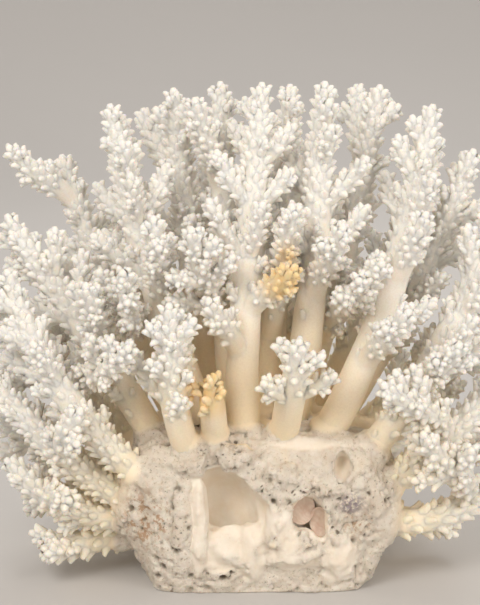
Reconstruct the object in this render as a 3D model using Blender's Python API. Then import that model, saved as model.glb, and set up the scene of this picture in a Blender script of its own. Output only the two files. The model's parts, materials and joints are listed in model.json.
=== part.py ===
"""Acropora coral skeleton: a bush of forked stems on a broken, hollowed base.

The colony stands on the flat cut under its base, whose middle is the origin. X runs to the right,
Y to the back and Z up. Sizes are in millimetres until a mesh is made.
"""

import math

import bmesh
import bpy
import numpy as np

METRES = 0.001
SPLIT_GAP = 0.3

# The base is a lump of old reef rock: wider than it is deep, boxy, cut flat underneath.
LUMP_MIDDLE = np.array([0.0, 0.0, 27.0])
LUMP_HALF = np.array([62.0, 41.0, 46.0])
LUMP_SQUARENESS = 4.2
LUMP_SIDES = 22
LUMP_HEIGHTS = (0.0, 14.0, 32.0, 50.0, 63.0, 70.0, 72.5)
LUMP_RIPPLE = 0.03
FOOT_SHARE = 0.86

# Hollows in the broken front face: middle, and half size along X, Y and Z.
HOLLOWS = {
    "cave": ((-17.0, -44.0, 36.0), (18.0, 27.0, 23.0)),
    "side_hollow": ((22.0, -44.0, 33.0), (9.5, 16.0, 14.0)),
    "borehole": ((37.0, -42.0, 60.0), (3.6, 16.0, 6.5)),
}

# Every stem springs from the lump's surface and points away from this place inside it.
GROWTH_MIDDLE = np.array([0.0, 6.0, 30.0])
STUB_SUNK = 8.0
STUB_LENGTH = 8.0
STUB_FLARE = 1.15
LUMP_ROOM = 1.09

# Stems: name, how far the root leans to the right and to the back in degrees, the tip, and the
# thickness at the root.
STEMS = (
    ("centre_stem_1", -9, -30, (2, 0, 224), 7.4),
    ("centre_stem_2", 15, -36, (17, -60, 122), 6.6),
    ("centre_stem_3", 5, 2, (15, 42, 219), 6.4),
    ("centre_stub", -25, -38, (-21, -44, 99), 5.8),
    ("right_stem_1", 21, -10, (29, -5, 225), 7.2),
    ("right_stem_2", 25, 18, (55, 20, 221), 6.4),
    ("right_stem_3", 37, -27, (77, 5, 214), 7.2),
    ("right_stem_4", 44, 8, (97, 12, 193), 6.2),
    ("right_stem_5", 56, -24, (111, 0, 171), 6.6),
    ("right_stem_6", 61, 8, (119, 14, 138), 6.0),
    ("right_stem_7", 73, -24, (120, -14, 109), 6.2),
    ("right_stem_8", 81, 8, (117, 14, 72), 5.8),
    ("right_stem_9", 93, -20, (102, -6, 40), 5.8),
    ("right_stem_10", 101, 12, (88, 12, 20), 5.6),
    ("left_stem_1", -14, -2, (-17, 25, 222), 6.4),
    ("left_stem_2", -24, 20, (-38, 15, 220), 6.4),
    ("left_stem_3", -31, -16, (-66, 5, 214), 7.2),
    ("left_stem_4", -40, -36, (-38, -58, 137), 6.4),
    ("left_stem_5", -43, 8, (-90, 30, 188), 6.4),
    ("left_stem_6", -52, -16, (-112, -8, 166), 6.6),
    ("left_stem_7", -65, -30, (-108, -26, 146), 6.2),
    ("left_stem_8", -64, 6, (-127, 6, 131), 6.2),
    ("left_stem_9", -80, -24, (-129, -14, 108), 6.0),
    ("left_stem_10", -84, 8, (-130, 8, 79), 6.0),
    ("left_stem_11", -91, -20, (-113, -20, 58), 5.8),
    ("left_stem_12", -97, 14, (-107, 14, 36), 5.8),
    ("left_stem_13", -101, -12, (-97, -22, 17), 5.6),
    ("back_stem_1", -66, 38, (-106, 58, 108), 6.2),
    ("back_stem_2", -42, 34, (-74, 64, 164), 6.4),
    ("back_stem_3", -13, 32, (-24, 68, 196), 6.4),
    ("back_stem_4", 12, 36, (25, 76, 190), 6.4),
    ("back_stem_5", 40, 34, (72, 62, 160), 6.4),
    ("back_stem_6", 66, 38, (102, 60, 102), 6.2),
    ("back_stem_7", -46, 60, (-60, 96, 112), 6.2),
    ("back_stem_8", 0, 58, (2, 106, 136), 6.4),
    ("back_stem_9", 46, 60, (58, 98, 106), 6.2),
    ("back_stem_10", -94, 48, (-78, 84, 48), 5.8),
    ("back_stem_11", 94, 48, (76, 86, 44), 5.8),
)

# Forks: the stem that each grows from, and its tip.
FORKS = (
    ("centre_stem_1", (-22, -42, 136)),
    ("centre_stem_1", (16, -40, 150)),
    ("centre_stem_3", (14, -36, 176)),
    ("right_stem_1", (36, -42, 168)),
    ("right_stem_2", (54, -46, 152)),
    ("right_stem_2", (46, 50, 218)),
    ("right_stem_3", (64, -52, 133)),
    ("right_stem_3", (72, -34, 172)),
    ("right_stem_5", (86, -50, 118)),
    ("right_stem_7", (52, -64, 104)),
    ("right_stem_9", (70, -54, 80)),
    ("left_stem_1", (-29, -44, 167)),
    ("left_stem_1", (-28, -8, 218)),
    ("left_stem_2", (-53, 40, 208)),
    ("left_stem_3", (-45, -40, 171)),
    ("left_stem_5", (-58, -48, 149)),
    ("left_stem_5", (-112, 8, 195)),
    ("left_stem_6", (-74, -46, 143)),
    ("left_stem_8", (-56, -60, 119)),
    ("left_stem_9", (-74, -52, 92)),
    ("left_stem_11", (-82, -50, 48)),
)
FORK_LEAN = math.radians(40)
FORK_SPACING = 20.0
FORK_LOWEST = 30.0
FORK_THICKNESS = 5.0
FORK_ROOM = 1.3
TIP_THICKNESS = 2.7
TIP_NARROWING = 0.65
TAPER_POWER = 2.4
NUB_SKIN = 1.1
NUBS_FROM = 0.2
NUBS_FULL = 0.55

# How a stem bends: it leaves the lump squarely, and turns up to the light at its tip.
OUTWARD = 0.55
LIFT = 0.5

# Stems and forks are five-sided here. Whorls of shoots stand at these distances from the tip.
SIDES = 5
TURNS = (0, 2, 3)
WHORLS = (7.0, 19.0, 36.0, 56.0, 79.0, 104.0)
WHORL_HALF = 4.0
WHORL_ROOM = 13.0
ROOT_ROOM = 9.0
TWIG_HEIGHT = 4.5

# A shoot leans out from its stem and bends back along it.
SHOOT_LENGTHS = (8.0, 12.0, 20.0, 26.0, 28.0, 24.0)
SHOOT_SHORTEST = 7.0
SHOOT_THICKNESS = 3.4
SHOOT_TIP = 2.2
SHOOT_LEAN = math.radians(52)
SHOOT_PULL = 0.3
SHOOT_BEND = 0.7
SHOOT_BARE = 0.45
SHOOT_SHRINK = 0.8

# Room kept between neighbours while the colony grows.
ROOM = 2.6
SHOOT_ROOM = 0.8
SPREAD_ROUNDS = 90
SPREAD_GAIN = 0.35
FLOOR_ROOM = 3.0
SHOOT_FLOOR_ROOM = 2.0
FORK_FREE = 28.0
LUMP_CLEARANCE = 1.25
LUMP_PUSH = 30.0

PART_COLOURS = {"stem": (0.87, 0.81, 0.70, 1.0), "base": (0.74, 0.68, 0.58, 1.0)}


def unit(vectors):
    """Vectors of length one, along the last axis."""
    vectors = np.asarray(vectors, float)
    return vectors / np.linalg.norm(vectors, axis=-1, keepdims=True)


def cubic_weights(t):
    """How much each of a cubic's four handles counts at each t from 0 to 1."""
    t = np.asarray(t, float)
    return np.stack([(1 - t) ** 3, 3 * t * (1 - t) ** 2, 3 * t**2 * (1 - t), t**3], axis=-1)


def cubic_slopes(t):
    """The weights of the four handles in the cubic's direction at each t."""
    t = np.asarray(t, float)
    ends = 3 * (1 - t) ** 2, 3 * t**2
    middle = 6 * t * (1 - t)
    return np.stack([-ends[0], ends[0] - middle, middle - ends[1], ends[1]], axis=-1)


class Limb:
    """A stem, a fork or a shoot: a tapering round limb along a cubic curve."""

    def __init__(self, name, handles, thick, thin, parent=None, at=0.0):
        self.name = name
        self.handles = np.asarray(handles, float)
        self.thick = thick
        self.thin = thin
        self.parent = parent
        self.at = at
        self.start = 0.0
        self.whorls = []
        self.shoots = []
        self.twigs = []
        self.forks = []
        self.side_ref = None

    def points(self, t):
        return cubic_weights(t) @ self.handles

    def directions(self, t):
        return unit(cubic_slopes(t) @ self.handles)

    def length(self):
        line = self.points(np.linspace(0, 1, 25))
        return np.linalg.norm(np.diff(line, axis=0), axis=1).sum()

    def radii(self, t):
        """The limb's own radius, without its nubs."""
        return self.thick + (self.thin - self.thick) * np.asarray(t, float) ** TAPER_POWER

    def skin(self, t):
        """How far the nubs stand out on average: little near the root, more beyond it."""
        t = np.clip((np.asarray(t, float) - NUBS_FROM) / (NUBS_FULL - NUBS_FROM), 0, 1)
        return NUB_SKIN * t * t * (3 - 2 * t)


def handles_of(start, out, tip):
    """A cubic that leaves start along out and turns up towards the light at its tip."""
    start, tip = np.asarray(start, float), np.asarray(tip, float)
    chord = tip - start
    reach = np.linalg.norm(chord)
    ahead = chord / reach
    leaving = unit(ahead + OUTWARD * unit(out))
    rising = unit(ahead + LIFT * np.array([0.0, 0.0, max(ahead[2], 0.0) + 0.1]))
    return np.array([start, start + leaving * reach / 3, tip - rising * reach / 3, tip])


def lump_depth(places):
    """Below 1 inside the lump, 1 on its surface: the sum of each coordinate's share to a power."""
    share = np.abs((places - LUMP_MIDDLE) / LUMP_HALF)
    return (share**LUMP_SQUARENESS).sum(axis=-1) ** (1 / LUMP_SQUARENESS)


def root_on_lump(lean_right, lean_back):
    """Where a line from the growth middle leaves the lump, and the direction of that line."""
    right, back = math.radians(lean_right), math.radians(lean_back)
    out = np.array([math.sin(right) * math.cos(back), math.sin(back), math.cos(right) * math.cos(back)])
    steps = np.linspace(0, 120, 481)
    line = GROWTH_MIDDLE + steps[:, None] * out
    return line[np.argmax(lump_depth(line) > 1)], out


def fork_share(parent, tip):
    """How far up its stem a fork leaves, so that it leans from the stem by the usual angle."""
    shares = np.linspace(FORK_LOWEST / parent.length(), 0.8, 69)
    lean = np.einsum("ij,ij->i", unit(tip - parent.points(shares)), parent.directions(shares))
    share = shares[np.argmin(np.abs(lean - math.cos(FORK_LEAN)))]
    for other in parent.forks:
        if abs(share - other.at) * parent.length() < FORK_SPACING:
            share = other.at + math.copysign(FORK_SPACING / parent.length(), share - other.at)
    return share


def place_limbs():
    """Every stem and fork, as first drawn."""
    limbs = []
    for name, lean_right, lean_back, tip, thick in STEMS:
        root, out = root_on_lump(lean_right, lean_back)
        limbs.append(Limb(name, handles_of(root, out, tip), thick, TIP_THICKNESS))
    named = {limb.name: limb for limb in limbs}
    for parent_name, tip in FORKS:
        parent = named[parent_name]
        at = fork_share(parent, np.array(tip, float))
        name = f"{parent_name}_fork_{len(parent.forks) + 1}"
        handles = handles_of(parent.points(at), parent.directions(at), tip)
        fork = Limb(name, handles, FORK_THICKNESS, TIP_THICKNESS, parent, at)
        parent.forks.append(fork)
        limbs.append(fork)
    return limbs


def kept_apart(limbs, shares):
    """For every two sample places, whether they keep apart: not on one limb, nor near a fork."""
    count = len(shares)
    apart = np.ones((len(limbs), count, len(limbs), count), bool)
    order = {limb.name: i for i, limb in enumerate(limbs)}
    for i, limb in enumerate(limbs):
        apart[i, :, i, :] = False
        if limb.parent is not None:
            near = shares * limb.length() < FORK_FREE
            j = order[limb.parent.name]
            apart[i, near, j, :] = False
            apart[j, :, i, near] = False
    return apart.reshape(len(limbs) * count, len(limbs) * count)


def spread(limbs):
    """Neighbours that stand too close lean away from each other, as growing branches do."""
    shares = np.linspace(0, 1, 15)
    weights = cubic_weights(shares)
    handles = np.array([limb.handles for limb in limbs])
    radius = np.array([limb.radii(shares) + limb.skin(shares) for limb in limbs])
    room = radius.reshape(-1, 1) + radius.reshape(1, -1) + ROOM
    apart = kept_apart(limbs, shares)
    order = {limb.name: i for i, limb in enumerate(limbs)}
    anchors = [
        (i, order[limb.parent.name], cubic_weights(limb.at))
        for i, limb in enumerate(limbs)
        if limb.parent is not None
    ]
    for _ in range(SPREAD_ROUNDS):
        places = np.einsum("tk,nkc->ntc", weights, handles)
        flat = places.reshape(-1, 3)
        away = flat[:, None] - flat[None]
        distance = np.linalg.norm(away, axis=-1) + 1e-9
        push = np.where(apart, np.clip(room - distance, 0, None), 0) / distance
        move = (push[..., None] * away).sum(axis=1).reshape(places.shape)
        depth = LUMP_CLEARANCE - lump_depth(places)[..., None]
        outside = shares[None, :, None] > NUBS_FROM
        move += np.where(outside & (depth > 0), depth * LUMP_PUSH * unit(places - GROWTH_MIDDLE), 0)
        move[..., 2] += np.clip(radius + FLOOR_ROOM - places[..., 2], 0, None)
        handles[:, 1:] += SPREAD_GAIN * np.einsum("tk,ntc->nkc", weights[:, 1:], move)
        for i, j, weight in anchors:
            handles[i, :2] += weight @ handles[j] - handles[i, 0]
    for limb, own in zip(limbs, handles):
        limb.handles = own


def side_frame(limb, t):
    """Two directions square to the limb at each t, which turn with it and don't twist."""
    along = limb.directions(t)
    if limb.side_ref is None:
        chord = unit(limb.handles[3] - limb.handles[0])
        helper = np.array([1.0, 0.2, 0.1]) if abs(chord[0]) < 0.8 else np.array([0.1, 1.0, 0.2])
        limb.side_ref = unit(np.cross(chord, helper))
    first = unit(limb.side_ref - (along @ limb.side_ref)[..., None] * along)
    return first, np.cross(along, first)


def side_towards(limb, t, heading):
    """The number of the side face that looks most along heading, and the next best one."""
    first, second = side_frame(limb, np.array([t]))
    turn = math.atan2(heading @ second[0], heading @ first[0]) / (2 * math.pi) * SIDES
    side = math.floor(turn)
    return side % SIDES, (side + (1 if turn - side > 0.5 else -1)) % SIDES


def side_direction(limb, t, side):
    first, second = side_frame(limb, np.array([t]))
    angle = 2 * math.pi * (side + 0.5) / SIDES
    return math.cos(angle) * first[0] + math.sin(angle) * second[0]


def set_starts(limbs):
    """Sets where each limb's own solid starts: clear of the lump, or of the stem that it forks from."""
    for limb in limbs:
        if limb.parent is None:
            shares = np.linspace(0.03, 0.6, 115)
            rings = np.array([ring(limb, t, limb.thick) for t in shares])
            clear = (lump_depth(rings) > LUMP_ROOM).all(axis=1)
            limb.start = max(shares[np.argmax(clear)], STUB_LENGTH / limb.length())
            continue
        lean = limb.directions(0.12) @ limb.parent.directions(limb.at)
        slant = math.sqrt(max(1 - lean * lean, 0.2))
        stem = limb.parent.radii(limb.at) + limb.parent.skin(limb.at)
        limb.start = (stem + FORK_ROOM + FORK_THICKNESS * abs(lean)) / slant / limb.length()


def set_whorls(limbs):
    """Shares of each limb's length where its forks and its whorls of shoots stand, root to tip."""
    for limb in limbs:
        length = limb.length()
        limb.whorls = [(fork.at, "fork") for fork in limb.forks]
        for number, from_tip in enumerate(WHORLS):
            share = 1 - from_tip / length
            clear = all(abs(share - fork.at) * length > WHORL_ROOM for fork in limb.forks)
            if clear and (share - limb.start) * length > ROOT_ROOM:
                limb.whorls.append((share, number))
        limb.whorls.sort()


def sample_places(limb, first_share=0.0):
    """Places about 3 mm apart along a limb, and the limb's radius at each."""
    shares = np.linspace(first_share, 1, max(int(limb.length() / 3.0), 4))
    return limb.points(shares), limb.radii(shares) + limb.skin(shares)


def shoot_along(limb, share, side, length):
    """A shoot that leaves one side of a limb and bends along with it."""
    start, along = limb.points(share), limb.directions(share)
    heading = unit(math.cos(SHOOT_LEAN) * along + math.sin(SHOOT_LEAN) * side_direction(limb, share, side))
    tip = start + length * unit(heading + SHOOT_PULL * along)
    bend = unit(heading + SHOOT_BEND * along)
    handles = [start, start + heading * length / 3, tip - bend * length / 3, tip]
    shoot = Limb(f"{limb.name}_shoot", handles, SHOOT_THICKNESS, SHOOT_TIP, limb, share)
    shoot.side = side
    return shoot


def longest_shoot(limb, share, side, length, taken):
    """The longest shoot from that side that keeps clear of its neighbours, or None."""
    others = [held for name, held in taken.items() if name != limb.name]
    places = np.concatenate([held[0] for held in others])
    radii = np.concatenate([held[1] for held in others])
    while length > SHOOT_SHORTEST + limb.radii(share):
        shoot = shoot_along(limb, share, side, length)
        own, own_radii = sample_places(shoot, SHOOT_BARE)
        apart = np.linalg.norm(own[:, None] - places[None], axis=-1)
        clear = (apart > own_radii[:, None] + NUB_SKIN + radii[None] + SHOOT_ROOM).all()
        if clear and own[:, 2].min() > own_radii.max() + SHOOT_FLOOR_ROOM:
            return shoot
        length *= SHOOT_SHRINK
    return None


def add_shoots(limbs):
    """Three shoots on each whorl, turned from whorl to whorl, and three twigs near the tip."""
    taken = {limb.name: sample_places(limb) for limb in limbs}
    for order, limb in enumerate(limbs):
        for step, (share, number) in enumerate(limb.whorls):
            side = order + 2 * step
            if number == "fork":
                continue
            if number == 0:
                limb.twigs += [(share, (side + k) % SIDES) for k in TURNS]
                continue
            for k in TURNS:
                length = SHOOT_LENGTHS[number] + limb.radii(share)
                shoot = longest_shoot(limb, share, (side + k) % SIDES, length, taken)
                if shoot is not None:
                    limb.shoots.append(shoot)
                    taken[f"{limb.name} {len(limb.shoots)}"] = sample_places(shoot, SHOOT_BARE)


def grow_colony():
    """All stems and forks in their places, with their shoots."""
    limbs = place_limbs()
    spread(limbs)
    set_starts(limbs)
    set_whorls(limbs)
    add_shoots(limbs)
    return limbs


def ring(limb, t, radius):
    """The corners of one five-sided section."""
    first, second = side_frame(limb, np.array([t]))
    turn = 2 * np.pi * np.arange(SIDES)[:, None] / SIDES
    return limb.points(t) + radius * (np.cos(turn) * first + np.sin(turn) * second)


def loft(bm, rings):
    """Closes a tube over rings of corners and returns its side faces by segment and side."""
    rows = [[bm.verts.new(corner) for corner in corners] for corners in rings]
    count = len(rows[0])
    walls = [
        [bm.faces.new((low[j], low[(j + 1) % count], high[(j + 1) % count], high[j])) for j in range(count)]
        for low, high in zip(rows, rows[1:])
    ]
    bm.faces.new(rows[0][::-1])
    bm.faces.new(rows[-1])
    return walls


def extrude_to(bm, face, centre, along, radius):
    """Extrudes a face to a regular outline square to the direction along, with the least turn."""
    grown = bmesh.ops.extrude_discrete_faces(bm, faces=[face])["faces"][0]
    corners = np.array([tuple(vert.co) for vert in grown.verts]) - centre
    first = unit(np.cross(along, corners[0]))
    first = unit(np.cross(first, along))
    second = np.cross(along, first)
    steps = 2 * np.pi * np.arange(len(corners)) / len(corners)
    off = np.arctan2(corners @ second, corners @ first) - steps
    turn = steps + math.atan2(np.sin(off).mean(), np.cos(off).mean())
    outline = centre + radius * (np.cos(turn)[:, None] * first + np.sin(turn)[:, None] * second)
    for vert, place in zip(grown.verts, outline):
        vert.co = place
    return grown, outline


def raise_twig(bm, face, direction):
    """Draws a side face out to a point."""
    middle = face.calc_center_median()
    apex = bmesh.ops.poke(bm, faces=[face])["verts"][0]
    apex.co = np.array(middle) + TWIG_HEIGHT * direction


def new_object(name, bm, kind):
    """A named object from a bmesh in millimetres, with its material."""
    bmesh.ops.scale(bm, vec=(METRES,) * 3, verts=bm.verts)
    mesh = bpy.data.meshes.new(name)
    bm.to_mesh(mesh)
    bm.free()
    thing = bpy.data.objects.new(name, mesh)
    thing.data.materials.append(coral_material(kind))
    bpy.context.scene.collection.objects.link(thing)
    return thing


def coral_material(kind):
    """Plain chalky finish for a stem or for the base."""
    name = f"coral_{kind}"
    if name in bpy.data.materials:
        return bpy.data.materials[name]
    material = bpy.data.materials.new(name)
    material.use_nodes = True
    shader = material.node_tree.nodes["Principled BSDF"]
    shader.inputs["Base Color"].default_value = PART_COLOURS[kind]
    shader.inputs["Roughness"].default_value = 0.85
    shader.inputs["Metallic"].default_value = 0.0
    return material


def fork_faces(fork):
    """The two neighbouring side faces of the stem that a fork grows from."""
    heading = fork.points(0.25) - fork.parent.points(fork.at)
    return side_towards(fork.parent, fork.at, heading)


def limb_object(limb):
    """One stem or fork with its shoots, and a stub for each fork that grows from it."""
    bm = bmesh.new()
    half = WHORL_HALF / limb.length()
    shares = [limb.start]
    for share, _ in limb.whorls:
        shares += [share - half, share + half]
    shares = np.array(shares + [1.0])
    sizes = limb.radii(shares) + limb.skin(shares)
    sizes[-1] *= TIP_NARROWING
    walls = loft(bm, [ring(limb, t, size) for t, size in zip(shares, sizes)])
    segment = {share: 2 * i + 1 for i, (share, _) in enumerate(limb.whorls)}
    for fork in limb.forks:
        left, right = fork_faces(fork)
        wall = walls[segment[fork.at]]
        root = bmesh.utils.face_join([wall[left], wall[right]])
        end = fork.start - SPLIT_GAP / fork.length()
        size = fork.radii(end) + fork.skin(end)
        extrude_to(bm, root, fork.points(end), fork.directions(end), size)
    for shoot in limb.shoots:
        face = walls[segment[shoot.at]][shoot.side]
        extrude_to(bm, face, shoot.points(1.0), shoot.directions(1.0), SHOOT_TIP + NUB_SKIN)
    for share, side in limb.twigs:
        direction = unit(side_direction(limb, share, side) + 0.8 * limb.directions(share))
        raise_twig(bm, walls[segment[share]][side], direction)
    return new_object(limb.name, bm, "stem")


def lump_rings():
    """The lump's outline at each height: a rounded oblong, widest a third of the way up."""
    turn = 2 * np.pi * np.arange(LUMP_SIDES) / LUMP_SIDES
    power = 2 / LUMP_SQUARENESS
    across = np.sign(np.cos(turn)) * np.abs(np.cos(turn)) ** power
    deep = np.sign(np.sin(turn)) * np.abs(np.sin(turn)) ** power
    for height in LUMP_HEIGHTS:
        rise = (height - LUMP_MIDDLE[2]) / LUMP_HALF[2]
        swell = (1 - max(rise, 0) ** LUMP_SQUARENESS) ** (1 / LUMP_SQUARENESS)
        swell *= 1 - (1 - FOOT_SHARE) * max(-rise, 0) * LUMP_HALF[2] / LUMP_MIDDLE[2]
        ripple = np.sin(3 * turn + 0.6 + height / 17) + np.sin(5 * turn - height / 11)
        size = swell * (1 + LUMP_RIPPLE * ripple)
        x = LUMP_MIDDLE[0] + LUMP_HALF[0] * across * size
        y = LUMP_MIDDLE[1] + LUMP_HALF[1] * deep * size
        yield np.stack([x, y, np.full(LUMP_SIDES, height)], axis=1)


def stub_object(limb):
    """The start of a stem, which belongs to the base up to the split."""
    bm = bmesh.new()
    end = limb.start - SPLIT_GAP / limb.length()
    inside = -STUB_SUNK * limb.directions(0.0)
    sunk = ring(limb, 0.0, limb.thick * STUB_FLARE) + inside
    loft(bm, [sunk, ring(limb, end, limb.radii(end) + limb.skin(end))])
    return new_object(f"{limb.name}_stub", bm, "base")


def hollow_object(name, middle, half):
    """A cutter for one of the hollows."""
    bm = bmesh.new()
    bmesh.ops.create_icosphere(bm, subdivisions=2, radius=1)
    bmesh.ops.scale(bm, vec=half, verts=bm.verts)
    bmesh.ops.translate(bm, vec=middle, verts=bm.verts)
    return new_object(name, bm, "base")


def helper_group(name, things):
    """Keeps cutters and stubs out of the render, in a collection that a Boolean can name."""
    group = bpy.data.collections.new(name)
    bpy.context.scene.collection.children.link(group)
    for thing in things:
        bpy.context.scene.collection.objects.unlink(thing)
        group.objects.link(thing)
        thing.hide_render = True
        thing.display_type = "WIRE"
    return group


def add_boolean(thing, name, operation, group):
    boolean = thing.modifiers.new(name, "BOOLEAN")
    boolean.operation = operation
    boolean.solver = "EXACT"
    boolean.operand_type = "COLLECTION"
    boolean.collection = group


def base_object(limbs):
    """The lump, with a stub for each stem and the hollows in its front."""
    bm = bmesh.new()
    loft(bm, list(lump_rings()))
    base = new_object("base", bm, "base")
    stubs = [stub_object(limb) for limb in limbs if limb.parent is None]
    hollows = [hollow_object(name, middle, half) for name, (middle, half) in HOLLOWS.items()]
    add_boolean(base, "stubs", "UNION", helper_group("stubs", stubs))
    add_boolean(base, "hollows", "DIFFERENCE", helper_group("hollows", hollows))
    return base


def main():
    for thing in list(bpy.data.objects):
        bpy.data.objects.remove(thing)
    limbs = grow_colony()
    for limb in limbs:
        limb_object(limb)
    base_object(limbs)


main()
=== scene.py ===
# %% [markdown]
# # Acropora coral skeleton
#
# This lesson dresses a bleached branching coral. The solids under it are already modelled: a bush of
# stems and forks on a broken lump of old reef rock. Each of them gets a detailed surface here, in the
# same place: round stems, stubby shoots, and the thousands of little cups in which the coral's animals
# sat.

# %% The frame
import json
import math

import bpy
import mathutils
import numpy as np
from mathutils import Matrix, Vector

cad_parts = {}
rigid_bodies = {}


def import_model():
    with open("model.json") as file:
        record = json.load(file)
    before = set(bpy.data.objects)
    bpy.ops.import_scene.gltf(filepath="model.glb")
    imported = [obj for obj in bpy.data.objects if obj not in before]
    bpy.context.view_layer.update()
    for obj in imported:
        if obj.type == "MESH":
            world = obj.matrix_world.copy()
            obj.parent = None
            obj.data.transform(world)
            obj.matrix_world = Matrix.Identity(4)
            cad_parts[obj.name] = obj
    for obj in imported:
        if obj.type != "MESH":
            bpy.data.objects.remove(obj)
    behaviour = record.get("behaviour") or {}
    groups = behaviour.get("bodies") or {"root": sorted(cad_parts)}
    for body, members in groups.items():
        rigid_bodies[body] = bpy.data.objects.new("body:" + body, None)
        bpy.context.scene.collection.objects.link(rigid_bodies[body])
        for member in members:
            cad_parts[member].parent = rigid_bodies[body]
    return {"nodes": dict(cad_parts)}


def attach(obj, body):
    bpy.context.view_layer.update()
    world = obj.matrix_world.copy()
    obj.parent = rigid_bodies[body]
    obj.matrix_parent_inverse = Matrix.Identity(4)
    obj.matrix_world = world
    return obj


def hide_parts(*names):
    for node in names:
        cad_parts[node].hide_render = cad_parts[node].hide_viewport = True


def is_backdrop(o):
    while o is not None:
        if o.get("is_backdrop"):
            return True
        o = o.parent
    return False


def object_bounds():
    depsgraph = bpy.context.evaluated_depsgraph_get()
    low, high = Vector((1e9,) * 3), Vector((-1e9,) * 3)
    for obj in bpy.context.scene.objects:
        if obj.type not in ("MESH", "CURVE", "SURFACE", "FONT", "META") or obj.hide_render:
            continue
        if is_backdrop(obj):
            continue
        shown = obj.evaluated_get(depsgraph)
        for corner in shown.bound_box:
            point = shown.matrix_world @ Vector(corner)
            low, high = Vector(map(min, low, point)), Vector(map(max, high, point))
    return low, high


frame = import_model()
CAD_BOX = [list(corner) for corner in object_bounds()]
METRES = 0.001
print("solids:", len(frame["nodes"]))
print("box in mm:", [[round(c / METRES, 1) for c in corner] for corner in CAD_BOX])

# %% [markdown]
# ## How the colony grows
#
# The solids were grown by a few rules, and the surfaces have to sit exactly on them. So the same
# named values and the same rules are repeated here, in millimetres. Each stem is a cubic curve from
# the lump to its tip. A curve can be followed with any number of rings, so the same limb serves for
# a plain solid and for a fine surface.
#
# First comes the lump of old reef rock, which a branching coral takes over as it grows. It could be
# sculpted by hand, but a rule with a few sizes can be followed by the solid and the surface alike.

# %% Sizes of the lump
SPLIT_GAP = 0.3

# The base is a lump of old reef rock: wider than it is deep, boxy, cut flat underneath.
LUMP_MIDDLE = np.array([0.0, 0.0, 27.0])
LUMP_HALF = np.array([62.0, 41.0, 46.0])
LUMP_SQUARENESS = 4.2
LUMP_TOP = 72.5
LUMP_RIPPLE = 0.03
FOOT_SHARE = 0.86

# Hollows in the broken front face: middle, and half size along X, Y and Z.
HOLLOWS = {
    "cave": ((-17.0, -44.0, 36.0), (18.0, 27.0, 23.0)),
    "side_hollow": ((22.0, -44.0, 33.0), (9.5, 16.0, 14.0)),
    "borehole": ((37.0, -42.0, 60.0), (3.6, 16.0, 6.5)),
}

# Every stem springs from the lump's surface and points away from this place inside it.
GROWTH_MIDDLE = np.array([0.0, 6.0, 30.0])
STUB_SUNK = 8.0
STUB_LENGTH = 8.0
LUMP_ROOM = 1.09
print("lump in mm:", 2 * LUMP_HALF, "hollows:", ", ".join(HOLLOWS))

# %% [markdown]
# The stems fan out from the lump, tallest in the middle and lying almost flat at the sides. A plant
# generator would give some coral, and this one has stems in known places, so each stem has a line of
# its own. What it grows on itself follows rules again.

# %% Stems and forks
# Stems: name, how far the root leans to the right and to the back in degrees, the tip, and the
# thickness at the root.
STEMS = (
    ("centre_stem_1", -9, -30, (2, 0, 224), 7.4),
    ("centre_stem_2", 15, -36, (17, -60, 122), 6.6),
    ("centre_stem_3", 5, 2, (15, 42, 219), 6.4),
    ("centre_stub", -25, -38, (-21, -44, 99), 5.8),
    ("right_stem_1", 21, -10, (29, -5, 225), 7.2),
    ("right_stem_2", 25, 18, (55, 20, 221), 6.4),
    ("right_stem_3", 37, -27, (77, 5, 214), 7.2),
    ("right_stem_4", 44, 8, (97, 12, 193), 6.2),
    ("right_stem_5", 56, -24, (111, 0, 171), 6.6),
    ("right_stem_6", 61, 8, (119, 14, 138), 6.0),
    ("right_stem_7", 73, -24, (120, -14, 109), 6.2),
    ("right_stem_8", 81, 8, (117, 14, 72), 5.8),
    ("right_stem_9", 93, -20, (102, -6, 40), 5.8),
    ("right_stem_10", 101, 12, (88, 12, 20), 5.6),
    ("left_stem_1", -14, -2, (-17, 25, 222), 6.4),
    ("left_stem_2", -24, 20, (-38, 15, 220), 6.4),
    ("left_stem_3", -31, -16, (-66, 5, 214), 7.2),
    ("left_stem_4", -40, -36, (-38, -58, 137), 6.4),
    ("left_stem_5", -43, 8, (-90, 30, 188), 6.4),
    ("left_stem_6", -52, -16, (-112, -8, 166), 6.6),
    ("left_stem_7", -65, -30, (-108, -26, 146), 6.2),
    ("left_stem_8", -64, 6, (-127, 6, 131), 6.2),
    ("left_stem_9", -80, -24, (-129, -14, 108), 6.0),
    ("left_stem_10", -84, 8, (-130, 8, 79), 6.0),
    ("left_stem_11", -91, -20, (-113, -20, 58), 5.8),
    ("left_stem_12", -97, 14, (-107, 14, 36), 5.8),
    ("left_stem_13", -101, -12, (-97, -22, 17), 5.6),
    ("back_stem_1", -66, 38, (-106, 58, 108), 6.2),
    ("back_stem_2", -42, 34, (-74, 64, 164), 6.4),
    ("back_stem_3", -13, 32, (-24, 68, 196), 6.4),
    ("back_stem_4", 12, 36, (25, 76, 190), 6.4),
    ("back_stem_5", 40, 34, (72, 62, 160), 6.4),
    ("back_stem_6", 66, 38, (102, 60, 102), 6.2),
    ("back_stem_7", -46, 60, (-60, 96, 112), 6.2),
    ("back_stem_8", 0, 58, (2, 106, 136), 6.4),
    ("back_stem_9", 46, 60, (58, 98, 106), 6.2),
    ("back_stem_10", -94, 48, (-78, 84, 48), 5.8),
    ("back_stem_11", 94, 48, (76, 86, 44), 5.8),
)

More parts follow.
